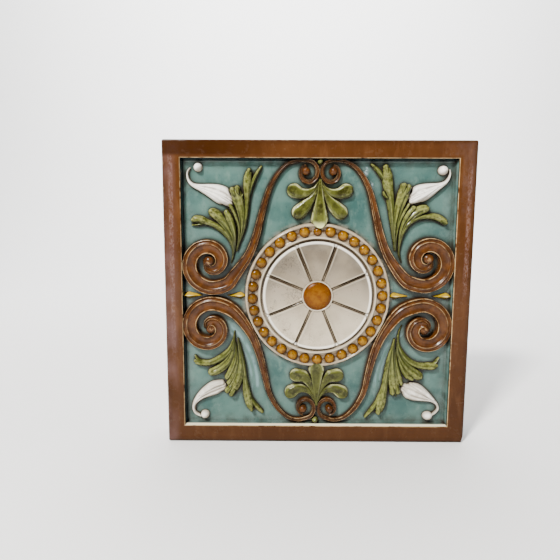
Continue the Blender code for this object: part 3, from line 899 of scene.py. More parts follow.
scroll = {
    # A volute's centre, first and last angle, outer and inner radius, tightening and height share.
    "smallVolute": ((11.2, 120.6), 92.0, 428.0, 9.1, 5.2, 4.0, 1.14),
    "smallWidths": (3.2, 4.0, 3.0),
    "smallHeights": (4.4, 5.0),
    "largeVolute": ((108.0, 33.8), -127.0, 330.0, 27.1, 3.9, 0.94, 1.0),
    "largeWidths": (14.0, 14.4, 14.4, 13.8, 12.4, 10.0, 5.6),
    "largeHeight": 8.2,
    "stem": (
        (20.0, 131.8, 2.8, 4.2), (30.0, 129.0, 3.0, 4.2), (39.6, 120.4, 3.8, 4.4), (46.2, 109.6, 4.4, 4.8),
        (50.4, 99.2, 5.0, 5.2), (55.4, 79.0, 6.2, 5.8), (60.4, 59.0, 7.3, 6.6), (68.2, 39.5, 8.8, 7.4),
        (81.6, 20.5, 12.0, 8.0),
    ),
    "stemUpperCount": 5,
    "largeEye": (108.0, 33.8, 6.4, 8.2),
    "smallEye": (13.6, 121.0, 4.3, 6.8),
    "smallShifts": ((-0.9, 2.1), (0.7, 2.1), (-0.1, -2.1), (0.5, -2.1)),
    "stemShifts": ((1.2, 0.6), (1.5, 0.6), (-1.6, -0.4), (-1.7, -0.4)),
    "voluteShifts": ((-0.6, -0.6), (0.1, 2.0), (0.4, -0.9), (0.4, 0.0)),
    "eyeShifts": ((0.6, 0.2), (1.6, 3.6), (-1.2, -0.4), (0.6, -0.2)),
    "step": 1.7,
    # The pale arrises on the map across the band: from, to and how strong.
    "bandEdges": ((0.140, 0.235, 0.85), (0.525, 0.605, 0.35), (0.785, 0.870, 0.85)),
    "section": (
        (-1.04, None), (-1.03, 0.2), (-0.99, 0.7), (-0.95, 0.94), (-0.89, 0.99), (-0.83, 0.93),
        (-0.74, 0.77), (-0.52, 0.71), (-0.22, 0.7), (0.06, 0.73), (0.22, 0.79), (0.3, 0.87), (0.38, 0.92),
        (0.46, 0.88), (0.56, 0.8), (0.74, 0.78), (0.84, 0.86), (0.89, 0.92), (0.95, 0.9), (0.99, 0.74),
        (1.03, 0.2), (1.04, None),
    ),
}


scrollGlaze = glaze("scroll glaze", paintScroll, scrollColours, gloss=0.24, bump=0.35)


# Points on a volute's middle line, outer end first, each with its share of the way in.
def spiral(volute, shift, steps):
    (u, v), first, last, wide, narrow, power, tall = volute
    out = []
    for k in range(steps + 1):
        share = k / steps
        turn = radians(first + (last - first) * share)
        radius = wide + (narrow - wide) * share ** power
        out.append((u + shift[0] + radius * cos(turn), v + shift[1] + tall * radius * sin(turn), share))
    return out


def scrollStations(index):
    small = [
        (u, v, blend(scroll["smallWidths"], share), blend(scroll["smallHeights"], share))
        for u, v, share in reversed(spiral(scroll["smallVolute"], scroll["smallShifts"][index], 8))
    ]
    stemShift = scroll["stemShifts"][index]
    upper = [(a + b) / 2 for a, b in zip(scroll["smallShifts"][index], stemShift)]
    stem = []
    for k, (u, v, width, height) in enumerate(scroll["stem"]):
        shift = upper if k < scroll["stemUpperCount"] else stemShift
        stem.append((u + shift[0], v + shift[1], width, height))
    large = [
        (u, v, blend(scroll["largeWidths"], share), scroll["largeHeight"])
        for u, v, share in spiral(scroll["largeVolute"], scroll["voluteShifts"][index], 13)
    ]
    return spaced(curved(small + stem + large), scroll["step"])


def makeScrolls():
    made = []
    for index, quarter in enumerate(quarters):
        path = roundEnd(scrollStations(index), 4, 0.7)
        made.append(rolledBand("scroll", path, lambda share: scroll["section"], quarter, scrollGlaze, 0.05))
        for (u, v, radius, top), shift in (
            (scroll["largeEye"], scroll["eyeShifts"][index]),
            (scroll["smallEye"], scroll["smallShifts"][index]),
        ):
            at = (quarter[0] * (u + shift[0]), quarter[1] * (v + shift[1]))
            made.append(mound("eye", *at, radius, top, scrollGlaze, power=0.6))
    return made


forms = makeScrolls()
print("scrolls:", len(forms), "forms")


# Leaf sprays.

leaf = {
    # For each quarter its lobes from the outermost in, each from root to tip: away from the
    # middle, up or down from it, width and height.
    "lobes": (
        (
            ((86.5, 32.7, 1.1, 1.2), (84.2, 42.8, 2.4, 2.4), (86.6, 54.2, 4.4, 3.8), (92.6, 63.4, 6.6, 4.8),
             (101.1, 69.9, 6.6, 5.2), (108.9, 72.9, 6.0, 5.4), (116.0, 75.5, 8.1, 6.0),
             (121.2, 76.2, 7.6, 6.0)),
            ((83.4, 44.1, 2.2, 2.4), (84.6, 56.2, 5.0, 4.2), (88.6, 65.4, 8.2, 5.4), (94.3, 73.9, 10.0, 6.2),
             (100.7, 80.3, 10.4, 6.8), (104.3, 82.8, 9.2, 6.8)),
            ((82.6, 46.8, 1.8, 2.4), (82.8, 58.8, 5.0, 4.6), (84.7, 68.0, 7.6, 6.0), (87.7, 76.5, 8.2, 6.8),
             (90.4, 82.4, 6.6, 6.8)),
            ((81.0, 46.8, 1.4, 2.2), (78.6, 58.8, 2.6, 3.8), (78.7, 69.4, 3.6, 5.0), (81.5, 78.5, 4.2, 5.8),
             (84.8, 86.2, 4.4, 6.4), (87.1, 90.1, 3.9, 6.4)),
            ((80.7, 44.8, 1.8, 2.4), (76.9, 60.5, 4.8, 4.0), (75.4, 72.0, 7.0, 5.4), (76.5, 83.7, 9.6, 6.4),
             (79.0, 94.0, 11.5, 7.0), (81.1, 101.4, 11.6, 7.2), (81.7, 103.2, 10.8, 7.2)),
            ((79.9, 48.2, 1.8, 2.4), (74.6, 64.1, 4.2, 3.8), (72.1, 77.2, 5.2, 4.6), (70.7, 90.2, 5.6, 5.0),
             (70.4, 99.2, 6.6, 5.6), (70.0, 108.1, 8.3, 6.2), (69.4, 117.0, 8.5, 6.6),
             (68.9, 120.4, 7.2, 6.4)),
            ((69.6, 96.0, 4.4, 4.6), (67.0, 106.5, 4.9, 4.8), (63.8, 114.7, 4.7, 5.0),
             (60.2, 121.7, 3.8, 4.8), (56.6, 127.3, 2.3, 4.0)),
        ),
        (
            ((84.2, 33.5, 1.1, 1.2), (81.3, 42.2, 2.2, 2.4), (81.4, 51.6, 3.0, 3.6), (84.0, 63.5, 4.4, 4.6),
             (89.8, 72.4, 5.4, 5.0), (98.4, 77.7, 5.2, 5.2), (108.6, 79.8, 5.6, 5.6),
             (117.7, 78.8, 7.1, 6.0), (124.5, 75.2, 6.5, 5.8)),
            ((81.0, 44.9, 1.8, 2.4), (82.0, 59.5, 4.4, 4.4), (86.2, 71.4, 7.6, 5.4), (93.0, 80.3, 9.8, 6.2),
             (100.2, 85.5, 10.4, 6.8), (104.8, 86.8, 9.3, 6.8)),
            ((80.6, 44.9, 1.4, 2.4), (81.2, 62.2, 3.4, 4.6), (84.2, 74.0, 5.4, 6.0), (88.7, 82.4, 6.8, 6.8),
             (93.2, 87.4, 6.4, 6.8)),
            ((77.9, 46.2, 1.5, 2.4), (77.6, 59.5, 2.4, 4.0), (79.8, 72.6, 3.4, 5.0), (83.9, 83.0, 4.2, 6.0),
             (88.3, 90.8, 4.2, 6.4)),
            ((77.4, 45.5, 2.2, 2.4), (76.1, 62.1, 4.8, 4.2), (76.8, 75.2, 8.0, 5.6), (79.3, 88.2, 10.9, 6.6),
             (82.8, 98.4, 11.9, 7.0), (84.8, 104.8, 11.4, 7.2), (85.0, 106.3, 10.6, 7.2)),
            ((76.7, 48.9, 1.8, 2.4), (74.9, 64.8, 4.2, 3.8), (73.3, 77.8, 6.0, 4.6), (71.7, 90.8, 7.8, 5.4),
             (69.7, 102.3, 8.8, 5.8), (67.9, 112.5, 10.9, 6.4), (66.8, 120.1, 10.6, 6.8),
             (66.2, 123.4, 8.7, 6.8)),
            ((66.7, 111.4, 4.6, 4.6), (62.9, 117.7, 5.4, 4.8), (59.1, 122.8, 5.0, 4.8),
             (55.2, 126.9, 3.6, 4.6), (51.4, 129.8, 2.0, 4.0)),
        ),
        (
            ((83.5, 36.7, 1.1, 1.2), (84.5, 45.8, 3.2, 2.8), (88.6, 56.7, 6.0, 4.2), (97.0, 64.9, 7.6, 5.0),
             (107.9, 70.2, 6.4, 5.2), (116.1, 70.7, 6.5, 5.6), (122.2, 69.6, 5.7, 5.6)),
            ((83.7, 44.5, 1.8, 2.4), (85.0, 55.2, 5.6, 4.2), (88.8, 66.1, 8.8, 5.4), (96.2, 74.3, 10.4, 6.2),
             (103.7, 78.7, 10.2, 6.6), (107.0, 80.0, 8.8, 6.6)),
            ((82.7, 48.7, 1.8, 2.4), (82.6, 62.1, 5.0, 4.6), (85.0, 71.7, 7.2, 5.8), (88.5, 79.9, 7.4, 6.4),
             (91.4, 85.0, 6.2, 6.6)),
            ((82.2, 54.2, 2.4, 2.8), (81.0, 65.0, 4.6, 4.4), (82.7, 74.5, 6.0, 5.4), (86.2, 84.2, 6.4, 6.2),
             (89.8, 90.6, 5.6, 6.4)),
            ((80.2, 44.5, 1.6, 2.4), (79.0, 56.7, 4.3, 3.8), (77.9, 68.9, 8.4, 5.2), (79.2, 81.2, 11.7, 6.4),
             (83.3, 92.3, 13.0, 7.0), (87.4, 98.6, 12.0, 7.2)),
            ((78.9, 48.6, 2.2, 2.6), (76.3, 63.5, 4.8, 4.2), (74.1, 77.4, 5.6, 5.0), (73.2, 88.5, 6.2, 5.4),
             (71.4, 101.0, 8.5, 6.2), (68.9, 112.3, 9.0, 6.6), (67.7, 116.0, 8.0, 6.6)),
            ((72.1, 93.1, 3.8, 4.6), (68.8, 104.4, 4.3, 4.8), (64.4, 112.9, 4.7, 5.0),
             (59.6, 118.7, 4.4, 4.8), (55.4, 122.7, 3.0, 4.2)),
        ),
        (
            ((86.9, 30.0, 0.9, 1.0), (83.9, 38.1, 1.8, 2.2), (83.7, 48.9, 3.2, 3.4), (87.0, 58.3, 5.6, 4.6),
             (94.4, 67.2, 6.8, 5.0), (102.7, 71.7, 6.2, 5.2), (110.0, 72.9, 6.8, 5.8),
             (116.7, 73.0, 8.2, 6.2), (120.0, 73.1, 7.3, 6.0)),
            ((82.4, 47.8, 1.8, 2.4), (84.2, 59.8, 5.4, 4.4), (89.0, 69.2, 9.5, 5.4), (95.6, 76.4, 11.2, 6.4),
             (101.9, 81.0, 11.2, 6.8), (105.4, 83.2, 9.6, 6.8)),
            ((82.9, 54.8, 1.4, 2.4), (85.5, 68.2, 4.6, 4.6), (89.7, 77.6, 6.9, 6.0), (94.5, 83.2, 6.8, 6.6),
             (98.0, 85.6, 5.7, 6.6)),
            ((80.9, 54.8, 1.4, 2.2), (82.0, 68.2, 3.8, 4.4), (84.2, 79.1, 5.8, 5.6), (86.3, 87.3, 5.8, 6.2),
             (87.4, 91.4, 4.6, 6.2)),
            ((79.9, 44.4, 2.0, 2.4), (78.2, 58.5, 5.1, 4.0), (78.4, 70.8, 9.0, 5.4), (79.2, 81.6, 12.4, 6.4),
             (80.5, 91.3, 13.0, 7.0), (81.2, 97.2, 11.6, 7.2)),
            ((79.1, 49.2, 2.0, 2.4), (75.9, 62.7, 4.8, 4.0), (73.6, 75.1, 5.6, 4.8), (72.0, 86.3, 5.9, 5.2),
             (70.6, 97.4, 7.0, 5.8), (68.3, 108.5, 10.6, 6.6), (66.8, 115.4, 10.4, 6.8),
             (66.1, 118.3, 9.1, 6.6)),
            ((66.8, 106.6, 4.6, 4.6), (62.8, 113.6, 4.8, 4.8), (58.5, 119.4, 4.3, 4.8),
             (54.6, 123.9, 3.2, 4.4), (51.5, 127.4, 1.9, 3.8)),
        ),
    ),
    # The rounded fingers that each lobe ends in: where across its half width, how far past its
    # end, and their share of its width.
    "fingers": (
        ((0.35, 1.0, 0.7),), (), (), (), ((0.44, 0.0, 0.62), (-0.44, 0.3, 0.6)), ((-0.05, 2.2, 0.62),), (),
    ),
    "fingerLength": 9.0,
    "fingerStep": 1.5,
    # Along a finger from its root: where, and its shares of offset, width and height there.
    "fingerRows": ((-1.0, 0.60, 0.6, 0.70), (-0.5, 0.85, 0.9, 1.04), (0.0, 1.0, 1.0, 1.10)),
    "notch": 2.2,       # how far a lobe's own end stands back between its fingers
    # Thin curls beside a lobe, for each quarter: which lobe, then rows of along, across, width and height.
    "curls": (
        (
            (0, ((-9.0, 3.0, 2.8, 3.8), (-3.6, 4.8, 3.0, 4.2), (3.0, 6.4, 1.6, 3.0))),
            (5, ((-27.0, 1.6, 2.8, 5.2), (-23.4, 4.0, 3.0, 5.6), (-20.4, 3.2, 1.8, 4.6))),
        ),
        ((5, ((-27.0, -2.0, 3.2, 5.2), (-23.2, -4.8, 3.2, 5.8), (-19.6, -5.6, 2.0, 4.8))),),
        (
            (0, ((-6.0, 1.4, 2.6, 4.6), (-0.6, 2.6, 2.8, 4.8), (3.6, 6.2, 1.6, 3.6))),
            (4, ((-3.0, -3.8, 3.0, 5.0), (2.0, -4.8, 3.0, 5.0), (5.6, -4.2, 1.8, 3.8))),
        ),
        (
            (0, ((-5.0, 0.8, 2.6, 4.6), (1.0, 3.2, 3.0, 5.0), (5.4, 9.4, 1.4, 3.6))),
            (4, ((-3.0, 0.4, 3.0, 4.8), (3.0, 0.4, 3.2, 4.8), (7.6, 0.8, 1.8, 3.6))),
        ),
    ),
    "step": 1.8,
    "curlStep": 1.2,
    "columns": 13,
    "grooves": ((-0.44, 0.13), (0.30, 0.20)),     # across, and how deep
    "grooveWidth": 0.20,
    "furrowed": (0.25, 1.0, 0.0, 0.0, 1.0, 0.4, 0.0),     # how strongly, for each lobe
}


palmetteGlaze = glaze("palmette glaze", paintPalmette, palmetteColours, gloss=0.15, bump=0.4, bumpSize=4.0)
leafGlaze = glaze("leaf glaze", paintLeaf, leafColours, gloss=0.17, bump=0.4, bumpSize=2.0)


# Across a form: a round back, lowered by this much at each place from -1 to 1.
def roundBack(columns, brink, fullness, lowered):
    out = [(-1.02, None)]
    for k in range(columns):
        t = -1 + 2 * k / (columns - 1)
        out.append((t, brink + (1 - brink) * (1 - abs(t) ** fullness) ** 0.6 - lowered(t)))
    return out + [(1.02, None)]


def grooved(form, t):
    return sum(deep * exp(-(((t - at) / form["grooveWidth"]) ** 2)) for at, deep in form["grooves"])


# Across a lobe: furrows along it that fade out before the tip.
def leafSection(share, strength):
    fade = strength * (1 - smoothStep(0.80, 1.0, share)) * smoothStep(0.05, 0.3, share)
    return roundBack(leaf["columns"], 0.26, 2.6, lambda t: fade * grooved(leaf, t))


# Across a small form: a plain round back.
def smoothSection(share):
    return roundBack(9, 0.30, 2.4, lambda t: 0.0)


# A place near the end of a path, along it and across.
def tipPlace(stations, along, across):
    a, b = stations[-4], stations[-1]
    du, dv = b[0] - a[0], b[1] - a[1]
    long = hypot(du, dv)
    du, dv = du / long, dv / long
    return b[0] + du * along + dv * across, b[1] + dv * along - du * across


# The path of one finger: it grows out of the lobe's back and reaches past its end.
def fingerPath(path, offset, beyond, part):
    width, height = path[-1][2:]
    rows = []
    for share, spread, wide, tall in leaf["fingerRows"]:
        along = width / 2 + beyond - width * part / 2 + (leaf["fingerLength"] + beyond) * share
        across = offset * (width / 2) * spread
        rows.append((*tipPlace(path, along, across), width * part * wide, height * tall))
    return spaced(curved(rows), leaf["fingerStep"])


def makeLeaves():
    made = []
    for lobes, curls, quarter in zip(leaf["lobes"], leaf["curls"], quarters):
        paths = [spaced(curved(rows), leaf["step"]) for rows in lobes]
        for path, fingers, furrowed in zip(paths, leaf["fingers"], leaf["furrowed"]):
            back = round(leaf["notch"] / leaf["step"]) if len(fingers) > 1 else 0
            blade = roundEnd(path[:len(path) - back], 4)
            section = partial(leafSection, strength=furrowed)
            made.append(rolledBand("lobe", blade, section, quarter, leafGlaze))
            for offset, beyond, part in fingers:
                finger = roundEnd(fingerPath(path, offset, beyond, part), 5)
                made.append(rolledBand("finger", finger, smoothSection, quarter, leafGlaze, 0.2))
        for which, rows in curls:
            rows = [(*tipPlace(paths[which], along, across), w, h) for along, across, w, h in rows]
            curl = roundEnd(spaced(curved(rows), leaf["curlStep"]), 3)
            made.append(rolledBand("curl", curl, smoothSection, quarter, leafGlaze))
    return made


forms += makeLeaves()
print("leaves:", len(forms), "forms so far")


# Buds with curled tails, and the balls.

bud = {
    # For each quarter the bud with its tail, and the petal folded over it.
    "bodies": (
        ((88.8, 96.4, 10.5, 4.0), (93.5, 98.9, 17.6, 5.6), (100.2, 102.0, 17.0, 6.4),
         (108.0, 104.7, 12.5, 6.2), (116.0, 107.0, 7.3, 5.4), (122.9, 109.1, 4.2, 4.6),
         (127.1, 112.5, 2.9, 4.0), (128.9, 116.9, 2.3, 3.4), (129.2, 120.7, 1.9, 3.0),
         (128.0, 124.1, 1.6, 2.8), (126.4, 125.9, 1.2, 2.4)),
        ((93.5, 98.6, 11.0, 4.0), (98.0, 101.4, 16.8, 5.6), (104.8, 103.9, 16.0, 6.4),
         (112.0, 106.8, 11.4, 6.0), (118.9, 109.7, 6.2, 5.2), (124.2, 112.8, 3.6, 4.4),
         (127.1, 116.7, 2.5, 3.8), (128.4, 120.9, 2.0, 3.2), (127.8, 124.8, 1.4, 2.8)),
        ((98.0, 95.2, 11.0, 4.0), (104.1, 96.9, 14.6, 5.6), (111.2, 100.2, 12.8, 6.0),
         (118.6, 105.0, 8.8, 5.4), (124.0, 110.5, 5.6, 4.8), (126.7, 115.7, 3.6, 4.2),
         (126.8, 120.8, 2.9, 3.8), (124.4, 124.9, 2.5, 3.6), (119.6, 127.2, 2.3, 3.6)),
        ((91.5, 96.5, 9.6, 4.0), (96.4, 99.1, 17.0, 5.6), (103.2, 102.2, 15.7, 6.2),
         (110.7, 105.2, 10.7, 5.8), (117.9, 107.7, 6.0, 5.0), (123.3, 111.1, 3.4, 4.4),
         (126.4, 115.2, 2.4, 3.8), (126.7, 119.5, 2.1, 3.6), (122.6, 123.9, 2.0, 3.6),
         (119.4, 125.2, 2.0, 3.6)),
    ),
    "folds": (
        ((87.6, 91.6, 6.6, 4.4), (93.0, 94.6, 7.6, 6.6), (99.8, 98.6, 7.0, 7.0), (108.0, 102.6, 4.8, 6.4),
         (116.3, 106.0, 2.4, 5.2)),
        ((91.7, 94.4, 6.4, 4.6), (98.2, 97.6, 8.0, 6.8), (106.4, 102.0, 6.4, 6.8), (115.4, 107.4, 3.2, 5.4)),
        ((97.4, 91.8, 6.0, 4.6), (104.0, 93.4, 7.2, 6.6), (111.8, 98.0, 6.6, 6.6), (119.0, 104.0, 4.1, 5.6)),
        ((99.2, 92.6, 6.6, 4.8), (107.0, 97.2, 8.2, 6.8), (114.5, 102.6, 6.0, 6.4), (121.4, 108.2, 3.0, 5.0)),
    ),
    "step": 1.8,
    # For each quarter the ball: across, up, half its width and half its height.
    "balls": (
        (118.6, 126.7, 4.4, 4.4), (121.5, 124.5, 5.0, 4.7), (115.2, 125.8, 4.6, 4.4),
        (116.4, 126.1, 5.3, 4.6),
    ),
    "ballTop": 6.8,
    "centreBalls": ((1.4, 132.4), (-0.6, -130.8)),
    "centreBallRadius": 3.6,
    "grooves": ((-0.34, 0.20), (0.30, 0.17)),
    "grooveWidth": 0.17,
    "foldLines": (0.330, 0.600),      # the same on the map across the band
}


whiteGlaze = glaze("white glaze", paintWhite, whiteColours, gloss=0.15, bumpSize=2.6)


# Across a bud: shallow furrows that run together towards the tip.
def budSection(share):
    fade = 1 - smoothStep(0.45, 0.75, share)
    return roundBack(17, 0.30, 2.6, lambda t: fade * grooved(bud, t))


def makeBuds():
    made = []
    for index, quarter in enumerate(quarters):
        for name, rows, section in (
            ("bud", bud["bodies"][index], budSection),
            ("petal", bud["folds"][index], smoothSection),
        ):
            path = roundEnd(spaced(curved(rows), bud["step"]))
            path = roundEnd(path[::-1], 5, 0.5)[::-1]
            made.append(rolledBand(name, path, section, quarter, whiteGlaze))
        u, v, wide, tall = bud["balls"][index]
        at = (quarter[0] * u, quarter[1] * v)
        made.append(mound("ball", *at, wide, bud["ballTop"], whiteGlaze, tall=tall / wide))
    for u, v in bud["centreBalls"]:
        made.append(mound("ball", u, v, bud["centreBallRadius"], bud["ballTop"], leafGlaze))
    return made


forms += makeBuds()


# Palmettes.

palmette = {
    "middles": (1.4, 0.4),
    "centres": (
        ((0.0, 115.6, 2.6, 4.6), (0.0, 110.0, 3.8, 5.0), (0.0, 101.0, 6.6, 5.8), (0.0, 88.0, 12.4, 7.2),
         (0.0, 76.4, 17.4, 8.3)),
        ((0.0, 114.6, 3.0, 4.6), (0.0, 108.0, 3.8, 4.8), (0.0, 99.0, 6.8, 5.4), (0.0, 86.0, 12.0, 6.6),
         (0.0, 77.0, 16.6, 7.6)),
    ),
    "sides": (
        (
            ((0.7, 113.0, 1.8, 4.4), (2.6, 106.5, 3.4, 4.6), (7.4, 97.5, 7.6, 5.4), (13.8, 90.0, 12.0, 6.6),
             (20.4, 83.6, 14.4, 7.2)),
            ((1.4, 113.4, 1.8, 4.4), (4.6, 107.0, 4.0, 4.6), (11.0, 102.4, 8.0, 5.4),
             (18.6, 101.8, 10.6, 6.4), (25.4, 104.4, 14.2, 7.0)),
        ),
        (
            ((0.8, 110.0, 1.8, 4.4), (3.0, 102.0, 3.8, 4.6), (6.8, 92.0, 8.0, 5.2), (12.6, 84.8, 11.6, 6.4),
             (20.8, 83.2, 13.6, 7.0)),
            ((1.6, 110.4, 1.8, 4.4), (5.0, 103.2, 4.2, 4.6), (10.8, 98.2, 7.4, 5.2), (19.0, 97.2, 10.4, 6.4),
             (25.8, 101.0, 13.8, 7.0)),
        ),
    ),
    "step": 1.8,
}


# Across a palmette's lobe: a raised edge round a hollow that fills towards the root.
def palmetteSection(share, fullness):
    hollow = 0.10 * smoothStep(0.30, 0.65, share)
    return roundBack(13, 0.30, fullness, lambda t: hollow * (1 - smoothStep(0.35, 0.75, abs(t))))


def makePalmettes():
    made = []

    def lobe(row, quarter, fullness=3.0, low=0.8):
        shift = quarter[0] * palmette["middles"][0 if quarter[1] > 0 else 1]
        stations = spaced(curved([(u + shift, v, w, h) for u, v, w, h in row], 10), palmette["step"])
        path = roundEnd(stations, 7, low)
        section = partial(palmetteSection, fullness=fullness)
        made.append(rolledBand("palmette", path, section, quarter, palmetteGlaze))

    for quarter in quarters:
        for row in palmette["sides"][0 if quarter[1] > 0 else 1]:
            lobe(row, quarter)
    for sideZ, row in zip((1, -1), palmette["centres"]):
        lobe(row, (1, sideZ), 7.0, 0.97)     # it stands over the ring's rim
    return made


forms += makePalmettes()


# Rosette.

rosette = {
    "seat": 4.6,
    "beadCount": 32,
    "beadCircle": 65.4,
    "beadRadius": 5.5,
    "beadTop": 8.3,
    "beadTurn": radians(0.4),
    "crampedBead": (8, 4.4, 64.3, 7.0),     # the one under the upper palmette: which, radius, circle and top
    "drift": (radians(3.0), radians(160), radians(40)),     # how far, where and over what angle
    "seams": (24.3, 70.3, 112.8, 157.5, 202.3, 246.3, 292.3, 339.2),
    "petalFloor": 2.6,
    "petalEnd": 55.4,
    "petalBrink": 0.8,                  # how far past that its outer edge lies
    "petalCorner": 4.2,
    "dish": (9.0, 0.55),                # how far in a petal is at its lowest, and by how much
    "inwardSink": (16.0, 40.0, 0.4),    # it sinks from the larger radius to the smaller, by this much
    "inwardEdge": (16.0, 34.0, 0.6),    # and its edge gets lower, down to this share
    # Across a petal: millimetres in from the middle of its seam, and the height there.
    "edge": ((0.0, 3.9), (0.3, 3.7), (0.75, 2.7), (1.1, 3.1), (1.5, 4.9), (2.1, 5.8), (2.9, 5.6), (4.0, 4.9)),
    "spread": (0.1, 0.2, 0.3, 0.4, 0.5, 0.6, 0.7, 0.8, 0.9),
    "radii": (
        9.0, 14.0, 16.0, 18.5, 22.0, 26.0, 30.5, 35.0, 39.5, 43.5, 46.5, 48.8, 50.4, 51.6, 52.5, 53.3, 53.9,
        54.4, 54.8, 55.2, 55.7,
    ),
    # The ring round the petals: radius and height.
    "ring": (
        (56.3, 2.7), (56.8, 3.2), (57.2, 4.8), (57.8, 5.7), (58.6, 5.9), (59.3, 5.5), (59.9, 4.7),
        (61.0, 4.4), (65.0, 4.1), (68.6, 4.4), (69.4, 5.0), (70.0, 6.0), (70.8, 6.6), (71.6, 6.4),
        (72.2, 5.6), (72.6, 4.4), (72.9, 1.6), (73.2, 0.2), (73.3, -1.5),
    ),
    "button": 14.2,
    "buttonTop": 8.4,
}

creamGlaze = glaze("cream glaze", paintRosette, rosetteColours, gloss=0.14)
beadGlaze = glaze("bead glaze", paintBead, beadColours, gloss=0.14)
amberGlaze = glaze("amber glaze", paintButton, buttonColours, gloss=0.30, shine=0.12)


# The height this far in from a petal's seam: a raised edge round a shallow dish.
def petalHeight(inward, radius):
    end = rosette["petalEnd"] - radius + rosette["petalBrink"]
    corner = rosette["petalCorner"]
    near = min(inward, end)
    if inward < corner and end < corner:
        near = max(0.0, corner - hypot(corner - inward, corner - end))
    edge = rosette["edge"]
    last, plain = edge[-1]
    if near >= last:
        reach, deep = rosette["dish"]
        inner, outer, sunk = rosette["inwardSink"]
        return plain - deep * smoothStep(last, reach, near) - sunk * (1 - smoothStep(inner, outer, radius))
    (d0, h0), (d1, h1) = next(pair for pair in zip(edge, edge[1:]) if near <= pair[1][0])
    found = h0 + (h1 - h0) * (near - d0) / (d1 - d0)
    if end < 1.3:       # the outer end's wall goes straight down
        return min(found, rosette["petalFloor"] + 0.2)
    level = plain - 0.3
    inner, outer, least = rosette["inwardEdge"]
    return level + (found - level) * (least + (1 - least) * smoothStep(inner, outer, radius))


# Angles and the distance in from the seam, all the way round at one radius.
def petalColumns(radius):
    seams = rosette["seams"] + (rosette["seams"][0] + 360,)
    steps = [row[0] for row in rosette["edge"]]
    out = []
    for start, end in zip(seams, seams[1:]):
        first, last = radians(start), radians(end)
        wide = (last - first) * radius
        fit = min(1.0, 0.46 * wide / steps[-1])
        out += [(first + d * fit / radius, d * fit) for d in steps]
        left = steps[-1] * fit
        for share in rosette["spread"]:
            at = left + (wide - 2 * left) * share
            out.append((first + at / radius, min(at, wide - at)))
        out += [(last - d * fit / radius, d * fit) for d in reversed(steps[1:])]
    return out


# A grid rolled round the middle: rows go outward, and its two ends meet at the first seam.
def makeDisc():
    columns = len(petalColumns(1.0))
    rows = [(radius, None) for radius in rosette["radii"]] + list(rosette["ring"])
    bm = bmesh.new()
    bm.loops.layers.uv.new("form")
    bmesh.ops.create_grid(bm, x_segments=columns, y_segments=len(rows) - 1, size=0.5, calc_uvs=True)
    for vert in bm.verts:
        column = round((vert.co.x + 0.5) * columns) % columns
        radius, height = rows[round((vert.co.y + 0.5) * (len(rows) - 1))]
        angle, inward = petalColumns(radius)[column]
        if height is None:
            height = petalHeight(inward, radius)
        vert.co = onTile(radius * cos(angle), radius * sin(angle), height)
    closeUp(bm)
    pressed(bm, 0.14)
    return makeObject(bm, "rosette", creamGlaze)


def makeRosette():
    made = [makeDisc()]
    seat, floor = rosette["seat"], rosette["petalFloor"]
    for n in range(rosette["beadCount"]):
        angle = 2 * pi * n / rosette["beadCount"]
        far, where, over = rosette["drift"]
        turn = angle + rosette["beadTurn"] + far * exp(-(((angle - where) / over) ** 2))
        which, radius, circle, top = rosette["crampedBead"]
        if n != which:
            radius, circle, top = rosette["beadRadius"], rosette["beadCircle"], rosette["beadTop"]
        at = (circle * cos(turn), circle * sin(turn))
        made.append(mound("bead", *at, radius, top, beadGlaze, seat - 1.0, 20, 10, 0.8))
    r, top = rosette["button"], rosette["buttonTop"]
    made.append(turned("collar", (
        (0.0, 5.2), (r - 0.6, 5.2), (r + 0.4, 5.8), (r + 1.2, 5.6), (r + 1.9, 4.6), (r + 2.2, floor - 1.0),
        (0.0, floor - 1.0),
    ), 64, creamGlaze))
    made.append(turned("button", (
        (0.0, top), (0.3 * r, top - 0.08), (0.55 * r, top - 0.35), (0.75 * r, top - 0.85),
        (0.88 * r, top - 1.5),
        (0.96 * r, top - 2.4), (r, 5.4), (r, floor), (0.0, floor),
    ), 64, amberGlaze))
    return made


forms += makeRosette()


# Darts on the middle line.

dart = {
    "spans": ((-137.0, -116.0), (-71.0, -90.5), (71.0, 91.0), (137.0, 116.5)),
    "rows": ((0.0, 0.10, 0.5), (0.16, 0.50, 0.8), (0.34, 1.0, 1.0), (0.5, 0.76, 0.95), (1.0, 0.10, 0.5)),
    "step": 1.2,
    "up": -0.2,
    "width": 7.0,
    "top": 5.2,
    "section": (
        (-1.02, None), (-1.0, 0.12), (-0.92, 0.26), (-0.5, 0.58), (-0.12, 0.92), (0.0, 1.0), (0.12, 0.92),
        (0.5, 0.58), (0.92, 0.26), (1.0, 0.12), (1.02, None),
    ),
}


dartColours = {
    "lower": (0.075, 0.045, 0.006),
    "ochre": (0.43, 0.27, 0.01),
    "specks": (0.15, 0.13, 0.012),
    "ridge": (0.74, 0.62, 0.3),
}


# Ochre on the upper side and brown-green below, with a pale ridge.
def paintDart(tree, look):
    up, rise = place(tree)[1:]
    lean = up + grain(tree, 3, 3, 0.6) * 1.6
    return layered(
        mixed(between(lean, -0.6, 1.2), look["lower"], look["ochre"]),
        (patches(tree, 2.2, 0.52, 0.7, 3, 0.7), look["specks"]),
        (between(rise, 4.1, 5.1), look["ridge"]),
        # painted shade in the creases round the dart
        (crevice(tree, 3.0, 0.3, 0.8), creviceShade),
    )


dartGlaze = glaze("dart glaze", paintDart, dartColours, gloss=0.16)


def makeDarts():
    made = []
    for start, end in dart["spans"]:
        rows = [
            (start + (end - start) * along, dart["up"], dart["width"] * wide, dart["top"] * high)
            for along, wide, high in dart["rows"]
        ]
        path = spaced(curved(rows, 6), dart["step"])
        made.append(rolledBand("dart", path, lambda share: dart["section"], (1, 1), dartGlaze))
    return made


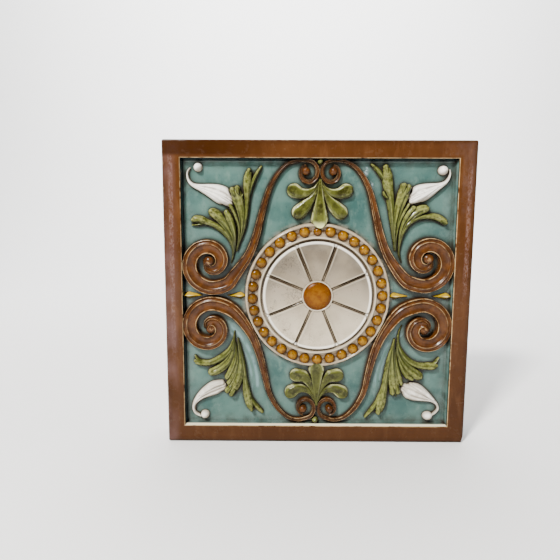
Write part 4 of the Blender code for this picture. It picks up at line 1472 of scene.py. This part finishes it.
forms += makeDarts()
print("forms:", len(forms), "faces:", sum(len(form.data.polygons) for form in forms))


# One body: the forms are joined to the slab, and the back is keyed.

def makeKeys():
    bm = bmesh.new()
    length = side / 2 - slab["keyMargin"]
    pitch = 2 * length / slab["keyCount"]
    for n in range(slab["keyCount"]):
        at = -length + (n + 0.5) * pitch
        scale = Matrix.Diagonal((2 * length * mm, 2 * slab["keyDepth"] * mm, slab["keyWidth"] * mm, 1.0))
        place = Matrix.Translation(middle + Vector((0, thick * mm, at * mm)))
        bmesh.ops.create_cube(bm, size=1.0, matrix=place @ scale)
    bmesh.ops.bevel(
        bm, geom=bm.edges[:], offset=slab["keyArris"] * mm, segments=2, affect="EDGES", profile=0.5,
        material=-1,
    )
    return makeObject(bm, "keys", bareClay)


def makeChip():
    across, deep, up = slab["chip"]
    size = slab["chipBlock"] * mm
    outward = Vector((1 / across, -1 / deep, -1 / up)).normalized()
    corner = Vector((high.x - across * mm, low.y, low.z))
    bm = bmesh.new()
    turn = outward.to_track_quat("Z", "Y").to_matrix().to_4x4()
    bmesh.ops.create_cube(bm, size=size, matrix=Matrix.Translation(corner + outward * size / 2) @ turn)
    return makeObject(bm, "chip", brownGlaze)


def combine(body, others, operation):
    group = bpy.data.collections.new("joined")
    bpy.context.scene.collection.children.link(group)
    for other in others:
        group.objects.link(other)
    step = body.modifiers.new("join", "BOOLEAN")
    step.operation = operation
    step.solver = "MANIFOLD"
    step.operand_type = "COLLECTION"
    step.collection = group
    step.material_mode = "TRANSFER"
    bpy.context.view_layer.update()
    graph = bpy.context.evaluated_depsgraph_get()
    mesh = bpy.data.meshes.new_from_object(body.evaluated_get(graph))
    body.modifiers.clear()
    body.data = mesh
    for other in others:
        bpy.data.objects.remove(other, do_unlink=True)
    bpy.data.collections.remove(group)


combine(body, [makeKeys(), makeChip()], "DIFFERENCE")
print("cut:", len(body.data.polygons), "faces")
combine(body, forms, "UNION")
body.data.shade_smooth()
sharpAngle = radians(40)
body.data.set_sharp_from_angle(angle=sharpAngle)
bm = bmesh.new()
bm.from_mesh(body.data)
triangles = len(bm.calc_loop_triangles())
openEdges = sum(1 for edge in bm.edges if len(edge.link_faces) != 2)
bm.free()
print("one body:", len(body.data.polygons), "faces,", triangles, "triangles,", openEdges, "open edges")

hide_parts("relief_tile")
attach(body, "root")


# Floor, light and camera.

stage = {
    "wide": 3.0,
    "front": -2.6,
    "back": 1.0,        # where the floor begins to bend up into the wall
    "bend": 1.2,
    "bendSteps": 24,
    "top": 3.4,
}


def makeFloor():
    bm = bmesh.new()
    points = [bm.verts.new(Vector((-stage["wide"], stage["front"], 0)))]
    bend = stage["bend"]
    for k in range(stage["bendSteps"] + 1):
        turn = pi / 2 * k / stage["bendSteps"]
        at = (-stage["wide"], stage["back"] + bend * sin(turn), bend * (1 - cos(turn)))
        points.append(bm.verts.new(Vector(at)))
    points.append(bm.verts.new(Vector((-stage["wide"], stage["back"] + stage["bend"], stage["top"]))))
    edges = [bm.edges.new(pair) for pair in zip(points, points[1:])]
    wall = bmesh.ops.extrude_edge_only(bm, edges=edges)
    for vert in wall["geom"]:
        if isinstance(vert, bmesh.types.BMVert):
            vert.co.x = stage["wide"]
    floor = makeObject(bm, "floor", glaze("floor white", paintFloor, floorColours, bump=0.0))
    floor.data.shade_smooth()


# A pale room: bright behind the tile, dimmer in front, so that the glaze keeps its depth.
room = {
    "from": -0.1,       # between these two the room turns from front to back
    "to": 0.55,
    "front": (0.05, 0.055, 0.06),
    "back": (1.0, 1.0, 1.0),
    "frontStrength": 0.9,
    "backStrength": 2.4,
    "seen": (1.0, 1.0, 1.0),
    "seenStrength": 1.3,
}


def makeWorld():
    world = bpy.data.worlds.new("soft room")
    bpy.context.scene.world = world
    world.use_nodes = True
    tree = world.node_tree
    backdrop = next(n for n in tree.nodes if n.type == "BACKGROUND")
    split = node(tree, "ShaderNodeSeparateXYZ")
    tree.links.new(node(tree, "ShaderNodeTexCoord").outputs["Generated"], split.inputs[0])
    behind = between(Field(tree, split.outputs["Y"]), room["from"], room["to"])
    seen = Field(tree, node(tree, "ShaderNodeLightPath").outputs["Is Camera Ray"])
    colour = mixed(behind, room["front"], room["back"])
    strength = (1.0 - seen) * (behind * room["backStrength"] + room["frontStrength"])
    feed(tree, backdrop.inputs["Color"], mixed(seen, colour, room["seen"]))
    feed(tree, backdrop.inputs["Strength"], strength + seen * room["seenStrength"])


# Each lamp's place, aim, width and height in metres, its power and its colour.
lamps = {
    "key": ((-0.72, -1.18, 1.45), (0, 0, 0.16), (0.24, 0.24), 84, (1.0, 0.97, 0.93)),
    "fill": ((0.9, -1.2, 0.7), (0, 0, 0.15), (0.5, 0.8), 2, (0.93, 0.96, 1.0)),
    "left strip": ((-0.41, -1.1, 0.25), (-0.14, 0, 0.15), (0.035, 0.62), 0.45, (1.0, 0.92, 1.0)),
    "backdrop": ((0.0, 0.45, 1.9), (0, 2.35, 1.45), (2.4, 0.7), 170, (1.0, 1.0, 1.0)),
    "right strip": ((0.57, -1.1, 0.42), (0.14, 0, 0.15), (0.05, 0.34), 0.5, (1.0, 0.92, 1.0)),
}


def makeLights():
    for name, (place, aim, size, power, colour) in lamps.items():
        lamp = bpy.data.lights.new(name, "AREA")
        lamp.shape = "RECTANGLE"
        lamp.size, lamp.size_y = size
        lamp.energy = power
        lamp.color = colour
        item = bpy.data.objects.new(name, lamp)
        item.location = place
        item.rotation_euler = (Vector(aim) - Vector(place)).to_track_quat("-Z", "Y").to_euler()
        bpy.context.scene.collection.objects.link(item)


view = {
    "pitch": 7.0185,        # degrees, looking down
    "yaw": 0.2852,
    "roll": 0.2423,
    "place": (-0.03534, -0.48236, 0.22614),
    "sensorWidth": 36,
    "lensShare": (470, 560),        # the lens's length against the picture's width
    "nearest": 0.01,
}


def makeCamera():
    pitch, yaw, roll = (radians(view[turn]) for turn in ("pitch", "yaw", "roll"))
    ahead = Vector((-sin(yaw), cos(yaw), 0))
    right = Vector((cos(yaw), sin(yaw), 0))
    up = Vector((0, 0, 1))
    forward = cos(pitch) * ahead - sin(pitch) * up
    top = sin(pitch) * ahead + cos(pitch) * up
    across = cos(roll) * right + sin(roll) * top
    rise = cos(roll) * top - sin(roll) * right
    lens = bpy.data.cameras.new("camera")
    lens.sensor_width = view["sensorWidth"]
    length, width = view["lensShare"]
    lens.lens = view["sensorWidth"] * length / width
    lens.clip_start = view["nearest"]
    item = bpy.data.objects.new("camera", lens)
    turned = Matrix((across, rise, -forward)).transposed().to_4x4()
    item.matrix_world = Matrix.Translation(view["place"]) @ turned
    bpy.context.scene.collection.objects.link(item)
    bpy.context.scene.camera = item


makeFloor()
makeWorld()
makeLights()
makeCamera()
print("stage set")
